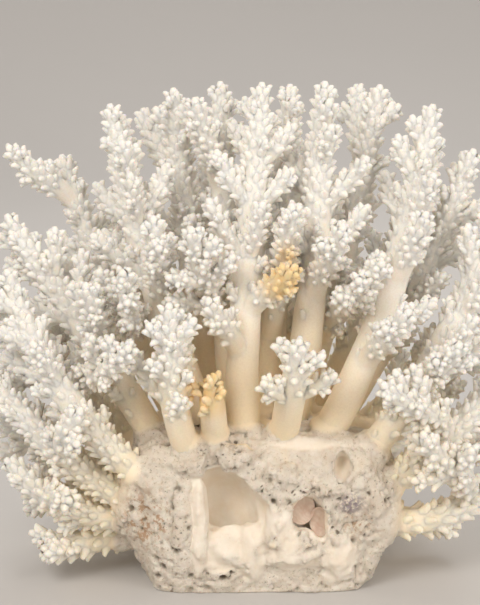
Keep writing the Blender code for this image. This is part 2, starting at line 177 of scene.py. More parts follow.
# Forks: the stem that each grows from, and its tip.
FORKS = (
    ("centre_stem_1", (-22, -42, 136)),
    ("centre_stem_1", (16, -40, 150)),
    ("centre_stem_3", (14, -36, 176)),
    ("right_stem_1", (36, -42, 168)),
    ("right_stem_2", (54, -46, 152)),
    ("right_stem_2", (46, 50, 218)),
    ("right_stem_3", (64, -52, 133)),
    ("right_stem_3", (72, -34, 172)),
    ("right_stem_5", (86, -50, 118)),
    ("right_stem_7", (52, -64, 104)),
    ("right_stem_9", (70, -54, 80)),
    ("left_stem_1", (-29, -44, 167)),
    ("left_stem_1", (-28, -8, 218)),
    ("left_stem_2", (-53, 40, 208)),
    ("left_stem_3", (-45, -40, 171)),
    ("left_stem_5", (-58, -48, 149)),
    ("left_stem_5", (-112, 8, 195)),
    ("left_stem_6", (-74, -46, 143)),
    ("left_stem_8", (-56, -60, 119)),
    ("left_stem_9", (-74, -52, 92)),
    ("left_stem_11", (-82, -50, 48)),
)
print("stems:", len(STEMS), "forks:", len(FORKS))

# %% [markdown]
# The rest are habits of growth: how a fork leans, how a limb tapers and bends, how long its shoots
# are from the tip down, and how much room neighbours leave each other.

# %% Habits of growth
FORK_LEAN = math.radians(40)
FORK_SPACING = 20.0
FORK_LOWEST = 30.0
FORK_THICKNESS = 5.0
FORK_ROOM = 1.3
TIP_THICKNESS = 2.7
TAPER_POWER = 2.4
NUB_SKIN = 1.1
NUBS_FROM = 0.2
NUBS_FULL = 0.55

# How a stem bends: it leaves the lump squarely, and turns up to the light at its tip.
OUTWARD = 0.55
LIFT = 0.5

# A shoot leaves one of five sides of a limb. Whorls of shoots stand at these distances from the tip,
# and the first is too near the tip for shoots.
SIDES = 5
TURNS = (0, 2, 3)
WHORLS = (7.0, 19.0, 36.0, 56.0, 79.0, 104.0)
WHORL_ROOM = 13.0
ROOT_ROOM = 9.0

# A shoot leans out from its stem and bends back along it.
SHOOT_LENGTHS = (8.0, 12.0, 20.0, 26.0, 28.0, 24.0)
SHOOT_SHORTEST = 7.0
SHOOT_THICKNESS = 3.4
SHOOT_TIP = 2.2
SHOOT_LEAN = math.radians(52)
SHOOT_PULL = 0.3
SHOOT_BEND = 0.7
SHOOT_BARE = 0.45
SHOOT_SHRINK = 0.8

# Room kept between neighbours while the colony grows.
ROOM = 2.6
SHOOT_ROOM = 0.8
SPREAD_ROUNDS = 90
SPREAD_GAIN = 0.35
FLOOR_ROOM = 3.0
SHOOT_FLOOR_ROOM = 2.0
FORK_FREE = 28.0
LUMP_CLEARANCE = 1.25
LUMP_PUSH = 30.0
print("shoots from the tip down, in mm:", SHOOT_LENGTHS[1:])

# %% [markdown]
# A limb is a line with a thickness. Blender's own curves could hold it, but their points would have
# to be read back for everything that grows on them. A cubic is short enough to work out here: it has
# four handles, and its point at t is their sum, each counted by a weight that depends on t alone. So
# a whole row of points is one matrix product.

# %% Curves
def unit(vectors):
    """Vectors of length one, along the last axis."""
    vectors = np.asarray(vectors, float)
    return vectors / np.linalg.norm(vectors, axis=-1, keepdims=True)


def cubic_weights(t):
    """How much each of a cubic's four handles counts at each t from 0 to 1."""
    t = np.asarray(t, float)
    return np.stack([(1 - t) ** 3, 3 * t * (1 - t) ** 2, 3 * t**2 * (1 - t), t**3], axis=-1)


def cubic_slopes(t):
    """The weights of the four handles in the cubic's direction at each t."""
    t = np.asarray(t, float)
    ends = 3 * (1 - t) ** 2, 3 * t**2
    middle = 6 * t * (1 - t)
    return np.stack([-ends[0], ends[0] - middle, middle - ends[1], ends[1]], axis=-1)


class Limb:
    """A stem, a fork or a shoot: a tapering round limb along a cubic curve."""

    def __init__(self, name, handles, thick, thin, parent=None, at=0.0):
        self.name = name
        self.handles = np.asarray(handles, float)
        self.thick = thick
        self.thin = thin
        self.parent = parent
        self.at = at
        self.start = 0.0
        self.whorls = []
        self.shoots = []
        self.twigs = []
        self.forks = []
        self.side_ref = None

    def points(self, t):
        return cubic_weights(t) @ self.handles

    def directions(self, t):
        return unit(cubic_slopes(t) @ self.handles)

    def length(self):
        line = self.points(np.linspace(0, 1, 25))
        return np.linalg.norm(np.diff(line, axis=0), axis=1).sum()

    def radii(self, t):
        """The limb's own radius, without its nubs."""
        return self.thick + (self.thin - self.thick) * np.asarray(t, float) ** TAPER_POWER

    def skin(self, t):
        """How far the nubs stand out on average: little near the root, more beyond it."""
        t = np.clip((np.asarray(t, float) - NUBS_FROM) / (NUBS_FULL - NUBS_FROM), 0, 1)
        return NUB_SKIN * t * t * (3 - 2 * t)


def handles_of(start, out, tip):
    """A cubic that leaves start along out and turns up towards the light at its tip."""
    start, tip = np.asarray(start, float), np.asarray(tip, float)
    chord = tip - start
    reach = np.linalg.norm(chord)
    ahead = chord / reach
    leaving = unit(ahead + OUTWARD * unit(out))
    rising = unit(ahead + LIFT * np.array([0.0, 0.0, max(ahead[2], 0.0) + 0.1]))
    return np.array([start, start + leaving * reach / 3, tip - rising * reach / 3, tip])


print("weights half-way along a cubic:", cubic_weights(0.5))

# %% [markdown]
# Stems leave the lump squarely and turn up to the light. Forks leave their stem at the usual angle.
# Then neighbours that stand too close lean away from each other, a little at a time.

# %% Stems and forks in their places
def lump_depth(places):
    """Below 1 inside the lump, 1 on its surface: the sum of each coordinate's share to a power."""
    share = np.abs((places - LUMP_MIDDLE) / LUMP_HALF)
    return (share**LUMP_SQUARENESS).sum(axis=-1) ** (1 / LUMP_SQUARENESS)


def root_on_lump(lean_right, lean_back):
    """Where a line from the growth middle leaves the lump, and the direction of that line."""
    right, back = math.radians(lean_right), math.radians(lean_back)
    out = np.array([math.sin(right) * math.cos(back), math.sin(back), math.cos(right) * math.cos(back)])
    steps = np.linspace(0, 120, 481)
    line = GROWTH_MIDDLE + steps[:, None] * out
    return line[np.argmax(lump_depth(line) > 1)], out


def fork_share(parent, tip):
    """How far up its stem a fork leaves, so that it leans from the stem by the usual angle."""
    shares = np.linspace(FORK_LOWEST / parent.length(), 0.8, 69)
    lean = np.einsum("ij,ij->i", unit(tip - parent.points(shares)), parent.directions(shares))
    share = shares[np.argmin(np.abs(lean - math.cos(FORK_LEAN)))]
    for other in parent.forks:
        if abs(share - other.at) * parent.length() < FORK_SPACING:
            share = other.at + math.copysign(FORK_SPACING / parent.length(), share - other.at)
    return share


def place_limbs():
    """Every stem and fork, as first drawn."""
    limbs = []
    for name, lean_right, lean_back, tip, thick in STEMS:
        root, out = root_on_lump(lean_right, lean_back)
        limbs.append(Limb(name, handles_of(root, out, tip), thick, TIP_THICKNESS))
    named = {limb.name: limb for limb in limbs}
    for parent_name, tip in FORKS:
        parent = named[parent_name]
        at = fork_share(parent, np.array(tip, float))
        name = f"{parent_name}_fork_{len(parent.forks) + 1}"
        handles = handles_of(parent.points(at), parent.directions(at), tip)
        fork = Limb(name, handles, FORK_THICKNESS, TIP_THICKNESS, parent, at)
        parent.forks.append(fork)
        limbs.append(fork)
    return limbs


def kept_apart(limbs, shares):
    """For every two sample places, whether they keep apart: not on one limb, nor near a fork."""
    count = len(shares)
    apart = np.ones((len(limbs), count, len(limbs), count), bool)
    order = {limb.name: i for i, limb in enumerate(limbs)}
    for i, limb in enumerate(limbs):
        apart[i, :, i, :] = False
        if limb.parent is not None:
            near = shares * limb.length() < FORK_FREE
            j = order[limb.parent.name]
            apart[i, near, j, :] = False
            apart[j, :, i, near] = False
    return apart.reshape(len(limbs) * count, len(limbs) * count)


def spread(limbs):
    """Neighbours that stand too close lean away from each other, as growing branches do."""
    shares = np.linspace(0, 1, 15)
    weights = cubic_weights(shares)
    handles = np.array([limb.handles for limb in limbs])
    radius = np.array([limb.radii(shares) + limb.skin(shares) for limb in limbs])
    room = radius.reshape(-1, 1) + radius.reshape(1, -1) + ROOM
    apart = kept_apart(limbs, shares)
    order = {limb.name: i for i, limb in enumerate(limbs)}
    anchors = [
        (i, order[limb.parent.name], cubic_weights(limb.at))
        for i, limb in enumerate(limbs)
        if limb.parent is not None
    ]
    for _ in range(SPREAD_ROUNDS):
        places = np.einsum("tk,nkc->ntc", weights, handles)
        flat = places.reshape(-1, 3)
        away = flat[:, None] - flat[None]
        distance = np.linalg.norm(away, axis=-1) + 1e-9
        push = np.where(apart, np.clip(room - distance, 0, None), 0) / distance
        move = (push[..., None] * away).sum(axis=1).reshape(places.shape)
        depth = LUMP_CLEARANCE - lump_depth(places)[..., None]
        outside = shares[None, :, None] > NUBS_FROM
        move += np.where(outside & (depth > 0), depth * LUMP_PUSH * unit(places - GROWTH_MIDDLE), 0)
        move[..., 2] += np.clip(radius + FLOOR_ROOM - places[..., 2], 0, None)
        handles[:, 1:] += SPREAD_GAIN * np.einsum("tk,ntc->nkc", weights[:, 1:], move)
        for i, j, weight in anchors:
            handles[i, :2] += weight @ handles[j] - handles[i, 0]
    for limb, own in zip(limbs, handles):
        limb.handles = own


print("limbs, before they spread:", len(place_limbs()))

# %% [markdown]
# A limb needs two directions square to it at every point, to turn a ring of corners around it.
# They come from one fixed direction made square to the curve, so the rings don't twist.

# %% Rings around a limb
def side_frame(limb, t):
    """Two directions square to the limb at each t, which turn with it and don't twist."""
    along = limb.directions(t)
    if limb.side_ref is None:
        chord = unit(limb.handles[3] - limb.handles[0])
        helper = np.array([1.0, 0.2, 0.1]) if abs(chord[0]) < 0.8 else np.array([0.1, 1.0, 0.2])
        limb.side_ref = unit(np.cross(chord, helper))
    first = unit(limb.side_ref - (along @ limb.side_ref)[..., None] * along)
    return first, np.cross(along, first)


def side_direction(limb, t, side):
    first, second = side_frame(limb, np.array([t]))
    angle = 2 * math.pi * (side + 0.5) / SIDES
    return math.cos(angle) * first[0] + math.sin(angle) * second[0]


def ring(limb, t, radius):
    """The corners of one five-sided section."""
    first, second = side_frame(limb, np.array([t]))
    turn = 2 * np.pi * np.arange(SIDES)[:, None] / SIDES
    return limb.points(t) + radius * (np.cos(turn) * first + np.sin(turn) * second)


print("corners of a ring:", len(ring(place_limbs()[0], 0.5, 5.0)))

# %% [markdown]
# Three shoots stand on each whorl. A shoot that would run into a neighbour is drawn shorter, and
# left out where there is no room at all.

# %% Whorls and shoots
def set_starts(limbs):
    """Sets where each limb's own solid starts: clear of the lump, or of the stem that it forks from."""
    for limb in limbs:
        if limb.parent is None:
            shares = np.linspace(0.03, 0.6, 115)
            rings = np.array([ring(limb, t, limb.thick) for t in shares])
            clear = (lump_depth(rings) > LUMP_ROOM).all(axis=1)
            limb.start = max(shares[np.argmax(clear)], STUB_LENGTH / limb.length())
            continue
        lean = limb.directions(0.12) @ limb.parent.directions(limb.at)
        slant = math.sqrt(max(1 - lean * lean, 0.2))
        stem = limb.parent.radii(limb.at) + limb.parent.skin(limb.at)
        limb.start = (stem + FORK_ROOM + FORK_THICKNESS * abs(lean)) / slant / limb.length()


def set_whorls(limbs):
    """Shares of each limb's length where its forks and its whorls of shoots stand, root to tip."""
    for limb in limbs:
        length = limb.length()
        limb.whorls = [(fork.at, "fork") for fork in limb.forks]
        for number, from_tip in enumerate(WHORLS):
            share = 1 - from_tip / length
            clear = all(abs(share - fork.at) * length > WHORL_ROOM for fork in limb.forks)
            if clear and (share - limb.start) * length > ROOT_ROOM:
                limb.whorls.append((share, number))
        limb.whorls.sort()


def sample_places(limb, first_share=0.0):
    """Places about 3 mm apart along a limb, and the limb's radius at each."""
    shares = np.linspace(first_share, 1, max(int(limb.length() / 3.0), 4))
    return limb.points(shares), limb.radii(shares) + limb.skin(shares)


def shoot_along(limb, share, side, length):
    """A shoot that leaves one side of a limb and bends along with it."""
    start, along = limb.points(share), limb.directions(share)
    heading = unit(math.cos(SHOOT_LEAN) * along + math.sin(SHOOT_LEAN) * side_direction(limb, share, side))
    tip = start + length * unit(heading + SHOOT_PULL * along)
    bend = unit(heading + SHOOT_BEND * along)
    handles = [start, start + heading * length / 3, tip - bend * length / 3, tip]
    return Limb(f"{limb.name}_shoot", handles, SHOOT_THICKNESS, SHOOT_TIP, limb, share)


def longest_shoot(limb, share, side, length, taken):
    """The longest shoot from that side that keeps clear of its neighbours, or None."""
    others = [held for name, held in taken.items() if name != limb.name]
    places = np.concatenate([held[0] for held in others])
    radii = np.concatenate([held[1] for held in others])
    while length > SHOOT_SHORTEST + limb.radii(share):
        shoot = shoot_along(limb, share, side, length)
        own, own_radii = sample_places(shoot, SHOOT_BARE)
        apart = np.linalg.norm(own[:, None] - places[None], axis=-1)
        clear = (apart > own_radii[:, None] + NUB_SKIN + radii[None] + SHOOT_ROOM).all()
        if clear and own[:, 2].min() > own_radii.max() + SHOOT_FLOOR_ROOM:
            return shoot
        length *= SHOOT_SHRINK
    return None


def add_shoots(limbs):
    """Up to three shoots on each whorl but the first, turned from whorl to whorl."""
    taken = {limb.name: sample_places(limb) for limb in limbs}
    for order, limb in enumerate(limbs):
        for step, (share, number) in enumerate(limb.whorls):
            side = order + 2 * step
            if number in ("fork", 0):
                continue
            for k in TURNS:
                length = SHOOT_LENGTHS[number] + limb.radii(share)
                shoot = longest_shoot(limb, share, (side + k) % SIDES, length, taken)
                if shoot is not None:
                    limb.shoots.append(shoot)
                    taken[f"{limb.name} {len(limb.shoots)}"] = sample_places(shoot, SHOOT_BARE)


def grow_colony():
    """All stems and forks in their places, with their shoots."""
    limbs = place_limbs()
    spread(limbs)
    set_starts(limbs)
    set_whorls(limbs)
    add_shoots(limbs)
    return limbs


limbs = grow_colony()
print("stems and forks:", len(limbs), "shoots:", sum(len(limb.shoots) for limb in limbs))

# %% [markdown]
# ## From arrays to a mesh
#
# Every surface here is a grid: rings of corners, one row after another, closed by a pole at each
# end. One function numbers the triangles of such a grid, and a heap collects many grids into one
# mesh. Two things go with every corner: `rim`, which is 1 on what stands proud and 0 in the crevices,
# and the direction that the surface faces there. The finish uses `rim` to paint shade into the
# crevices and light onto the rims. Where one grid grows out of another, both face the same way, so
# that the light runs over the join as it does over one skin. A Boolean or a remesh would fuse them
# for real, but it would cost far more faces than a coral with thousands of cups can have.

# %% Grids and heaps
def turns(count):
    """Even angles round a circle."""
    return 2 * np.pi * np.arange(count) / count


def spokes(turn, one, two):
    """Directions round a line: cos u one + sin u two, for each ring and each angle u."""
    return np.cos(turn)[None, :, None] * one[:, None] + np.sin(turn)[None, :, None] * two[:, None]


def grid_triangles(rows, columns):
    """Corner numbers of a closed tube: two triangles for each cell, and a fan at each pole."""
    low = np.arange((rows - 1) * columns).reshape(rows - 1, columns)
    beside = low - np.arange(columns) + (np.arange(columns) + 1) % columns
    above, over = low + columns, beside + columns
    cells = np.stack([low, beside, over, low, over, above], axis=-1).reshape(-1, 3)
    turn = np.arange(columns)
    following = (turn + 1) % columns
    first, last, top = rows * columns, rows * columns + 1, (rows - 1) * columns
    foot = np.stack([np.full(columns, first), following, turn], axis=-1)
    head = np.stack([np.full(columns, last), top + turn, top + following], axis=-1)
    return np.concatenate([cells, foot, head])


def closed_tube(corners):
    """A grid of rings with a pole in the middle of its first ring and of its last."""
    poles = np.stack([corners[0].mean(axis=0), corners[-1].mean(axis=0)])
    return np.concatenate([corners.reshape(-1, 3), poles]), grid_triangles(*corners.shape[:2])


class Heap:
    """Many grids, gathered into one set of arrays."""

    def __init__(self):
        self.points, self.facing, self.triangles, self.rims, self.count = [], [], [], [], 0

    def add(self, points, facing, triangles, rims):
        points = points.reshape(-1, 3)
        self.points.append(points)
        self.facing.append(facing.reshape(-1, 3))
        self.triangles.append(triangles.reshape(-1, 3) + self.count)
        self.rims.append(np.broadcast_to(rims, len(points)))
        self.count += len(points)

    def piece(self, name):
        points, facing, triangles, rims = (
            np.concatenate(held) for held in (self.points, self.facing, self.triangles, self.rims)
        )
        return mesh_piece(name, points, triangles, {"rim": rims}, facing)


def mesh_piece(name, points, triangles, values, facing=None):
    """An object at the origin whose mesh holds the points, given in millimetres, and their values."""
    mesh = bpy.data.meshes.new(name)
    mesh.vertices.add(len(points))
    mesh.vertices.foreach_set("co", (points * METRES).astype(np.float32).ravel())
    mesh.loops.add(len(triangles) * 3)
    mesh.loops.foreach_set("vertex_index", triangles.astype(np.int32).ravel())
    mesh.polygons.add(len(triangles))
    mesh.polygons.foreach_set("loop_start", np.arange(0, len(triangles) * 3, 3, dtype=np.int32))
    for key, value in values.items():
        layer = mesh.attributes.new(key, "FLOAT", "POINT")
        layer.data.foreach_set("value", np.asarray(value, np.float32))
    mesh.update(calc_edges=True)
    mesh.validate()
    mesh.shade_smooth()
    if facing is not None:
        mesh.normals_split_custom_set_from_vertices(facing)
    thing = bpy.data.objects.new(name, mesh)
    bpy.context.scene.collection.objects.link(thing)
    return thing


print("triangles of a closed tube of 3 rings of 7 corners:", len(grid_triangles(3, 7)))

# %% [markdown]
# ## Round limbs
#
# The wall of a limb is a tube along its curve. Real skeleton isn't lathe-turned, so two slow waves
# run round and along it. Near the tip the tube narrows to the width of the one big cup that leads
# the growth, and its last rings close it like the end of a thumb.

# %% Tubes along limbs
RING_STEP = 3.0
TIP_NARROW, TIP_FADE = 0.32, 4.5
END_ROUND, END_SHORT = 2.4, 2.2
WAVES = 0.035
SKIN_SHARE = 0.25
ROUND_STEPS = np.radians([30, 60, 80])
JOIN_REACH = 1.8

# A limb starts at this share of its parent's radius, so that its root stays hidden inside.
ROOT_SHARE = 0.74


def wall_radius(limb, shares):
    """The limb's own radius with part of its skin, narrowing towards the tip by an exponential."""
    from_tip = (1 - shares) * limb.length()
    size = limb.radii(shares) + SKIN_SHARE * limb.skin(shares)
    return size * (1 - TIP_NARROW * np.exp(-from_tip / TIP_FADE))


def wall_shares(limb, first, step=RING_STEP):
    """Shares at even steps up to the rounded end, and three more round it."""
    length = limb.length()
    end = 1 - min(END_SHORT / length, 0.3)
    rounding = min(END_ROUND / length, 0.3)
    even = np.linspace(first, end - rounding, max(int(length * (1 - first) / step), 3))
    round_end = end - rounding * (1 - np.sin(ROUND_STEPS))
    return even, round_end, end


def joined(facing, corners, parent, share):
    """Near its parent's wall a surface faces as that wall does, and fades to its own way further out."""
    along = parent.directions(share)
    away = corners - parent.points(share)
    away = away - (away @ along)[..., None] * along
    gap = np.linalg.norm(away, axis=-1) - wall_radius(parent, np.array([share]))
    near = np.clip(1 - gap / JOIN_REACH, 0, 1)[..., None]
    return unit(facing * (1 - near) + unit(away) * near)


def add_wall(heap, limb, first, sides, phase, step=RING_STEP):
    """Ring of corners at each share: centre + size (cos u first + sin u second), with slow waves."""
    even, round_end, end = wall_shares(limb, first, step)
    shares = np.concatenate([even, round_end])
    sizes = np.concatenate([wall_radius(limb, even), wall_radius(limb, even[-1:]) * np.cos(ROUND_STEPS)])
    if limb.parent is not None:
        inside = ROOT_SHARE * wall_radius(limb.parent, np.array([limb.at]))
        out_of_parent = np.clip(shares / max(0.8 * limb.start, 0.2), 0, 1)
        sizes = np.minimum(sizes, inside + (sizes - inside) * out_of_parent)
    turn = turns(sides)
    along = shares[:, None] * limb.length()
    wave = np.sin(3 * turn + along / 7 + phase) + 0.8 * np.sin(2 * turn - along / 11 + 2 * phase)
    reach = (sizes[:, None] * (1 + WAVES * wave))[..., None]
    out = spokes(turn, *side_frame(limb, shares))
    corners = limb.points(shares)[:, None] + reach * out
    rounding = np.concatenate([np.zeros(len(even)), ROUND_STEPS])[:, None, None]
    facing = np.cos(rounding) * out + np.sin(rounding) * limb.directions(shares)[:, None]
    if limb.parent is not None:
        facing = joined(facing, corners, limb.parent, limb.at)
    ends = limb.directions(np.array([first, 1.0])) * np.array([[-1.0], [1.0]])
    poles = np.stack([corners[0].mean(axis=0), limb.points(end)])
    points = np.concatenate([corners.reshape(-1, 3), poles])
    facing = np.concatenate([facing.reshape(-1, 3), ends])
    heap.add(points, facing, grid_triangles(len(shares), sides), 0.0)


print("foot and tip of", limbs[0].name, "in mm:", wall_radius(limbs[0], np.array([0.0, 1.0])).round(2))

# %% [markdown]
# ## Cups
#
# A cup is a short leaning cone with a blunt end, some 3 mm across at its foot. There are thousands,
# so each has only three rings of seven corners, and all the cups of a limb are made at once: the same
# little grid is laid out in each cup's own frame. Its foot is cut slantwise, to lie on the wall that
# it grows from, and its outer lip reaches further than the inner one. That gives the branches their
# saw-toothed edges.
#
# They are placed like the seeds of a sunflower: each is a golden angle further round than the last,
# and the number of them up to a place is the wall's area up to there, divided by the area that one
# cup takes. Cups scattered at random would leave bald spots and clumps, which a coral hasn't got.

# %% Cups
GOLDEN = math.pi * (3 - math.sqrt(5))
CUP_AREA = 18.5
CUP_RADIUS = 1.05
CUP_LENGTH = 3.2
CUP_LEAN = math.radians(44)
CUP_SIDES = 7
CUP_SUNK = 0.15
CUP_BELOW_TIP = 3.6
LEAD_RADIUS = 1.75
LEAD_LENGTH = 4.2
LEAD_SIDES = 9

# Cups stray along the limb and round it. Near the tip, over a few millimetres, they lean more and
# are shorter.
ASTRAY, TURNED_ASTRAY = 0.35, 0.12
TIP_LEAN, TIP_SHORTER, TIP_REACH = 0.2, 0.15, 3.5

# Each ring of a cup: share of its radius, share of its length, how far it is tilted, its rim value
# (whiter colour at the lip as painted light, warmer at the foot as painted shade), how much it faces
# forwards, and how much it faces as the wall does.
CUP_RINGS = np.array(
    [(1.8, -0.25, -1.6, 0.0, 0.2, 0.9), (1.2, 0.4, -0.4, 0.4, 0.3, 0.3), (0.86, 0.87, 0.3, 1.0, 0.6, 0.0)]
)
LEAD_RINGS = np.array([(1.25, -0.1, 0, 0, 0.1, 0), (1.02, 0.6, 0, 0.6, 0.3, 0), (0.62, 0.95, 0, 1, 1.0, 0)])
CUP_POLES = np.array([(-0.5, 0.0), (0.98, 0.8)])


def add_cups(heap, places, aims, outs, radii, lengths, sides=CUP_SIDES, rings=CUP_RINGS, wall=None):
    """For each cup: place + radius share (cos u out + sin u across) + length share along its aim."""
    turn = turns(sides)
    round_aim = spokes(turn, outs, np.cross(aims, outs))
    share, rise, tilt, rim, forwards, join = rings.T
    wide = radii[:, None, None, None] * share[None, :, None, None]
    high = lengths[:, None, None] * rise[None, :, None]
    high = high + radii[:, None, None] * tilt[None, :, None] * np.cos(turn)
    offsets = wide * round_aim[:, None] + high[..., None] * aims[:, None, None]
    facing = unit(round_aim[:, None] + forwards[None, :, None, None] * aims[:, None, None])
    if wall is not None:
        across_wall, along = (part[:, None, None] for part in wall)
        flat = offsets - (offsets * along).sum(axis=-1, keepdims=True) * along
        facing = unit(facing * (1 - join)[:, None, None] + unit(across_wall + flat) * join[:, None, None])
    corners = places[:, None, None] + offsets
    poles = places[:, None] + (lengths[:, None] * CUP_POLES[:, 0])[..., None] * aims[:, None]
    points = np.concatenate([corners.reshape(len(places), -1, 3), poles], axis=1)
    facing = np.concatenate([facing.reshape(len(places), -1, 3), np.stack([-aims, aims], axis=1)], axis=1)
    cup = grid_triangles(len(share), sides)
    triangles = cup[None] + (np.arange(len(places)) * points.shape[1])[:, None, None]
    rims = np.tile(np.concatenate([np.repeat(rim, sides), CUP_POLES[:, 1]]), len(places))
    heap.add(points, facing, triangles, rims)


def lead_cup(heap, limb, radius=LEAD_RADIUS, length=LEAD_LENGTH):
    """The one big cup at a limb's tip, straight along it."""
    aim = limb.directions(np.array([1.0]))
    out = side_frame(limb, np.array([1.0]))[0]
    place = limb.points(np.array([1.0])) - 0.95 * length * aim
    add_cups(heap, place, aim, out, np.array([radius]), np.array([length]), LEAD_SIDES, LEAD_RINGS)


def cover_with_cups(heap, limb, density, chance, size=1.0, blocked=None):
    """Cups by golden angle, where the running area of the wall reaches each whole number of cups."""
    shares = np.linspace(0, 1, 81)
    wall = wall_radius(limb, shares)
    amount = 2 * np.pi * wall * density(shares) / (CUP_AREA * size**2)
    total = np.concatenate([[0], np.cumsum((amount[1:] + amount[:-1]) / 2) * limb.length() / 80])
    wanted = np.arange(0.5, total[-1], 1.0)
    if len(wanted) == 0:
        return 0
    at = np.interp(wanted, total, shares) + chance.normal(0, ASTRAY, len(wanted)) / limb.length()
    at = np.clip(at, 0, max(1 - CUP_BELOW_TIP * size / limb.length(), 0.05))
    turn = np.arange(len(wanted)) * GOLDEN + chance.normal(0, TURNED_ASTRAY, len(wanted))
    one, two = side_frame(limb, at)
    out = np.cos(turn)[:, None] * one + np.sin(turn)[:, None] * two
    along = limb.directions(at)
    beside = (wall_radius(limb, at) - CUP_SUNK)[:, None] * out
    places = limb.points(at) + beside
    keep = np.ones(len(at), bool) if blocked is None else ~blocked(places)
    near_tip = np.exp(-((1 - at) * limb.length() - CUP_BELOW_TIP * size) / TIP_REACH)
    lean = CUP_LEAN + TIP_LEAN * near_tip + chance.normal(0, TURNED_ASTRAY, len(at))
    aims = np.cos(lean)[:, None] * out + np.sin(lean)[:, None] * along
    outs = np.sin(lean)[:, None] * out - np.cos(lean)[:, None] * along
    lengths = size * CUP_LENGTH * (1 - TIP_SHORTER * near_tip) * chance.uniform(0.75, 1.25, len(at))
    radii = size * CUP_RADIUS * chance.uniform(0.88, 1.15, len(at))
    wall = beside[keep], along[keep]
    add_cups(heap, places[keep], aims[keep], outs[keep], radii[keep], lengths[keep], wall=wall)
    return int(keep.sum())


print("triangles of a cup:", len(grid_triangles(len(CUP_RINGS), CUP_SIDES)))


# %% [markdown]
# ## Twigs
#
# Between its shoots a limb carries twigs of 4 to 9 mm, each a tiny limb with a lead cup and a few
# side cups. They too follow the golden angle, and are longer further down, up to where the smooth
# lower stem begins. The broken stub in front has its twigs close together at its end.

# %% Twigs
TWIG_STEP = 6.5
TWIG_LONGEST = 9.5
NUBS_NEAR, NUBS_FAR = 72.0, 112.0
YOUNG_FULL, YOUNG_END = 42.0, 88.0
SPARSEST = 0.03
FEWEST_TWIGS = 0.05
BROKEN = "centre_stub"
SIDE_GAIN = 34.0
ASIDE_FROM, ASIDE_OVER = 40.0, 30.0
LOW_BELOW, LOW_OVER = 115.0, 50.0
TWIG_RADIUS = 1.9
TWIG_LEAN = math.radians(50)
TWIG_SUNK = 0.4
TWIG_PULL, TWIG_BEND = 0.25, 0.6
TWIG_ROOM, TWIG_FLOOR_ROOM = 2.4, 2.5

# Twigs start at this distance from the tip and follow at this step: on a whole limb, and broken off.
WHOLE_TWIGS, BROKEN_TWIGS = (8.0, TWIG_STEP), (2.5, 3.5)
BROKEN_TWIG, YOUNG_TWIG, TWIG_GROWTH = 6.0, 3.2, 0.16


def twig_limb(limb, share, turn, reach):
    """A tiny limb that leaves its parent at a turn around it and bends to run along with it."""
    one, two = side_frame(limb, np.array([share]))
    along = limb.directions(share)
    out = math.cos(turn) * one[0] + math.sin(turn) * two[0]
    heading = unit(math.sin(TWIG_LEAN) * out + math.cos(TWIG_LEAN) * along)
    start = limb.points(share) + TWIG_SUNK * wall_radius(limb, np.array([share]))[0] * out
    length = reach + 0.6 * limb.radii(share)
    tip = start + length * unit(heading + TWIG_PULL * along)
    bend = unit(heading + TWIG_BEND * along)
    handles = [start, start + heading * length / 3, tip - bend * length / 3, tip]
    return Limb("twig", handles, TWIG_RADIUS, TWIG_RADIUS * 0.9, limb, share)


def nubby(limb, bare=0.0):
    """How thickly a limb is covered: sparse near the middle of growth and far from its tip."""

    def density(shares):
        places = limb.points(shares)
        reach = np.linalg.norm(places - GROWTH_MIDDLE, axis=-1)
        aside = np.clip((np.abs(places[..., 0]) - ASIDE_FROM) / ASIDE_OVER, 0, 1)
        low = np.clip((LOW_BELOW - places[..., 2]) / LOW_OVER, 0, 1)
        reach = reach + SIDE_GAIN * aside * low
        young = np.clip((YOUNG_END - (1 - shares) * limb.length()) / (YOUNG_END - YOUNG_FULL), 0.1, 1)
        young = np.maximum(young, aside * low)
        t = np.clip((reach - NUBS_NEAR) / (NUBS_FAR - NUBS_NEAR), 0, 1)
        thick = np.where(reach < NUBS_NEAR - 6, 0, SPARSEST + (1 - SPARSEST) * t * t * (3 - 2 * t))
        return np.where(shares < bare, 0, thick * young)

    return density


class Crowd:
    """Sample places of all tubes, to tell whether something would run into them."""

    def __init__(self):
        self.places, self.radii, self.owners = [], [], []

    def add(self, limb, owner, first=0.0):
        shares = np.linspace(first, 1, max(int(limb.length() * (1 - first) / 2.0), 3))
        self.places.append(limb.points(shares))
        self.radii.append(wall_radius(limb, shares))
        self.owners.append(np.full(len(shares), owner))

    def near(self, places, room, owner=-1):
        """Whether each place is within room of another owner's tube."""
        centres, radii = np.concatenate(self.places), np.concatenate(self.radii)
        other = np.concatenate(self.owners) != owner
        apart = np.linalg.norm(places[:, None] - centres[other][None], axis=-1)
        return (apart < radii[other] + room).any(axis=1)


print("twigs are at most", TWIG_LONGEST, "mm long, one every", TWIG_STEP, "mm")

# %% [markdown]
# Each limb now tries its twigs from the tip down. One that would end in a shoot, in a neighbour or
# in the ground is left out, as crowded branchlets stay stunted in the real colony.

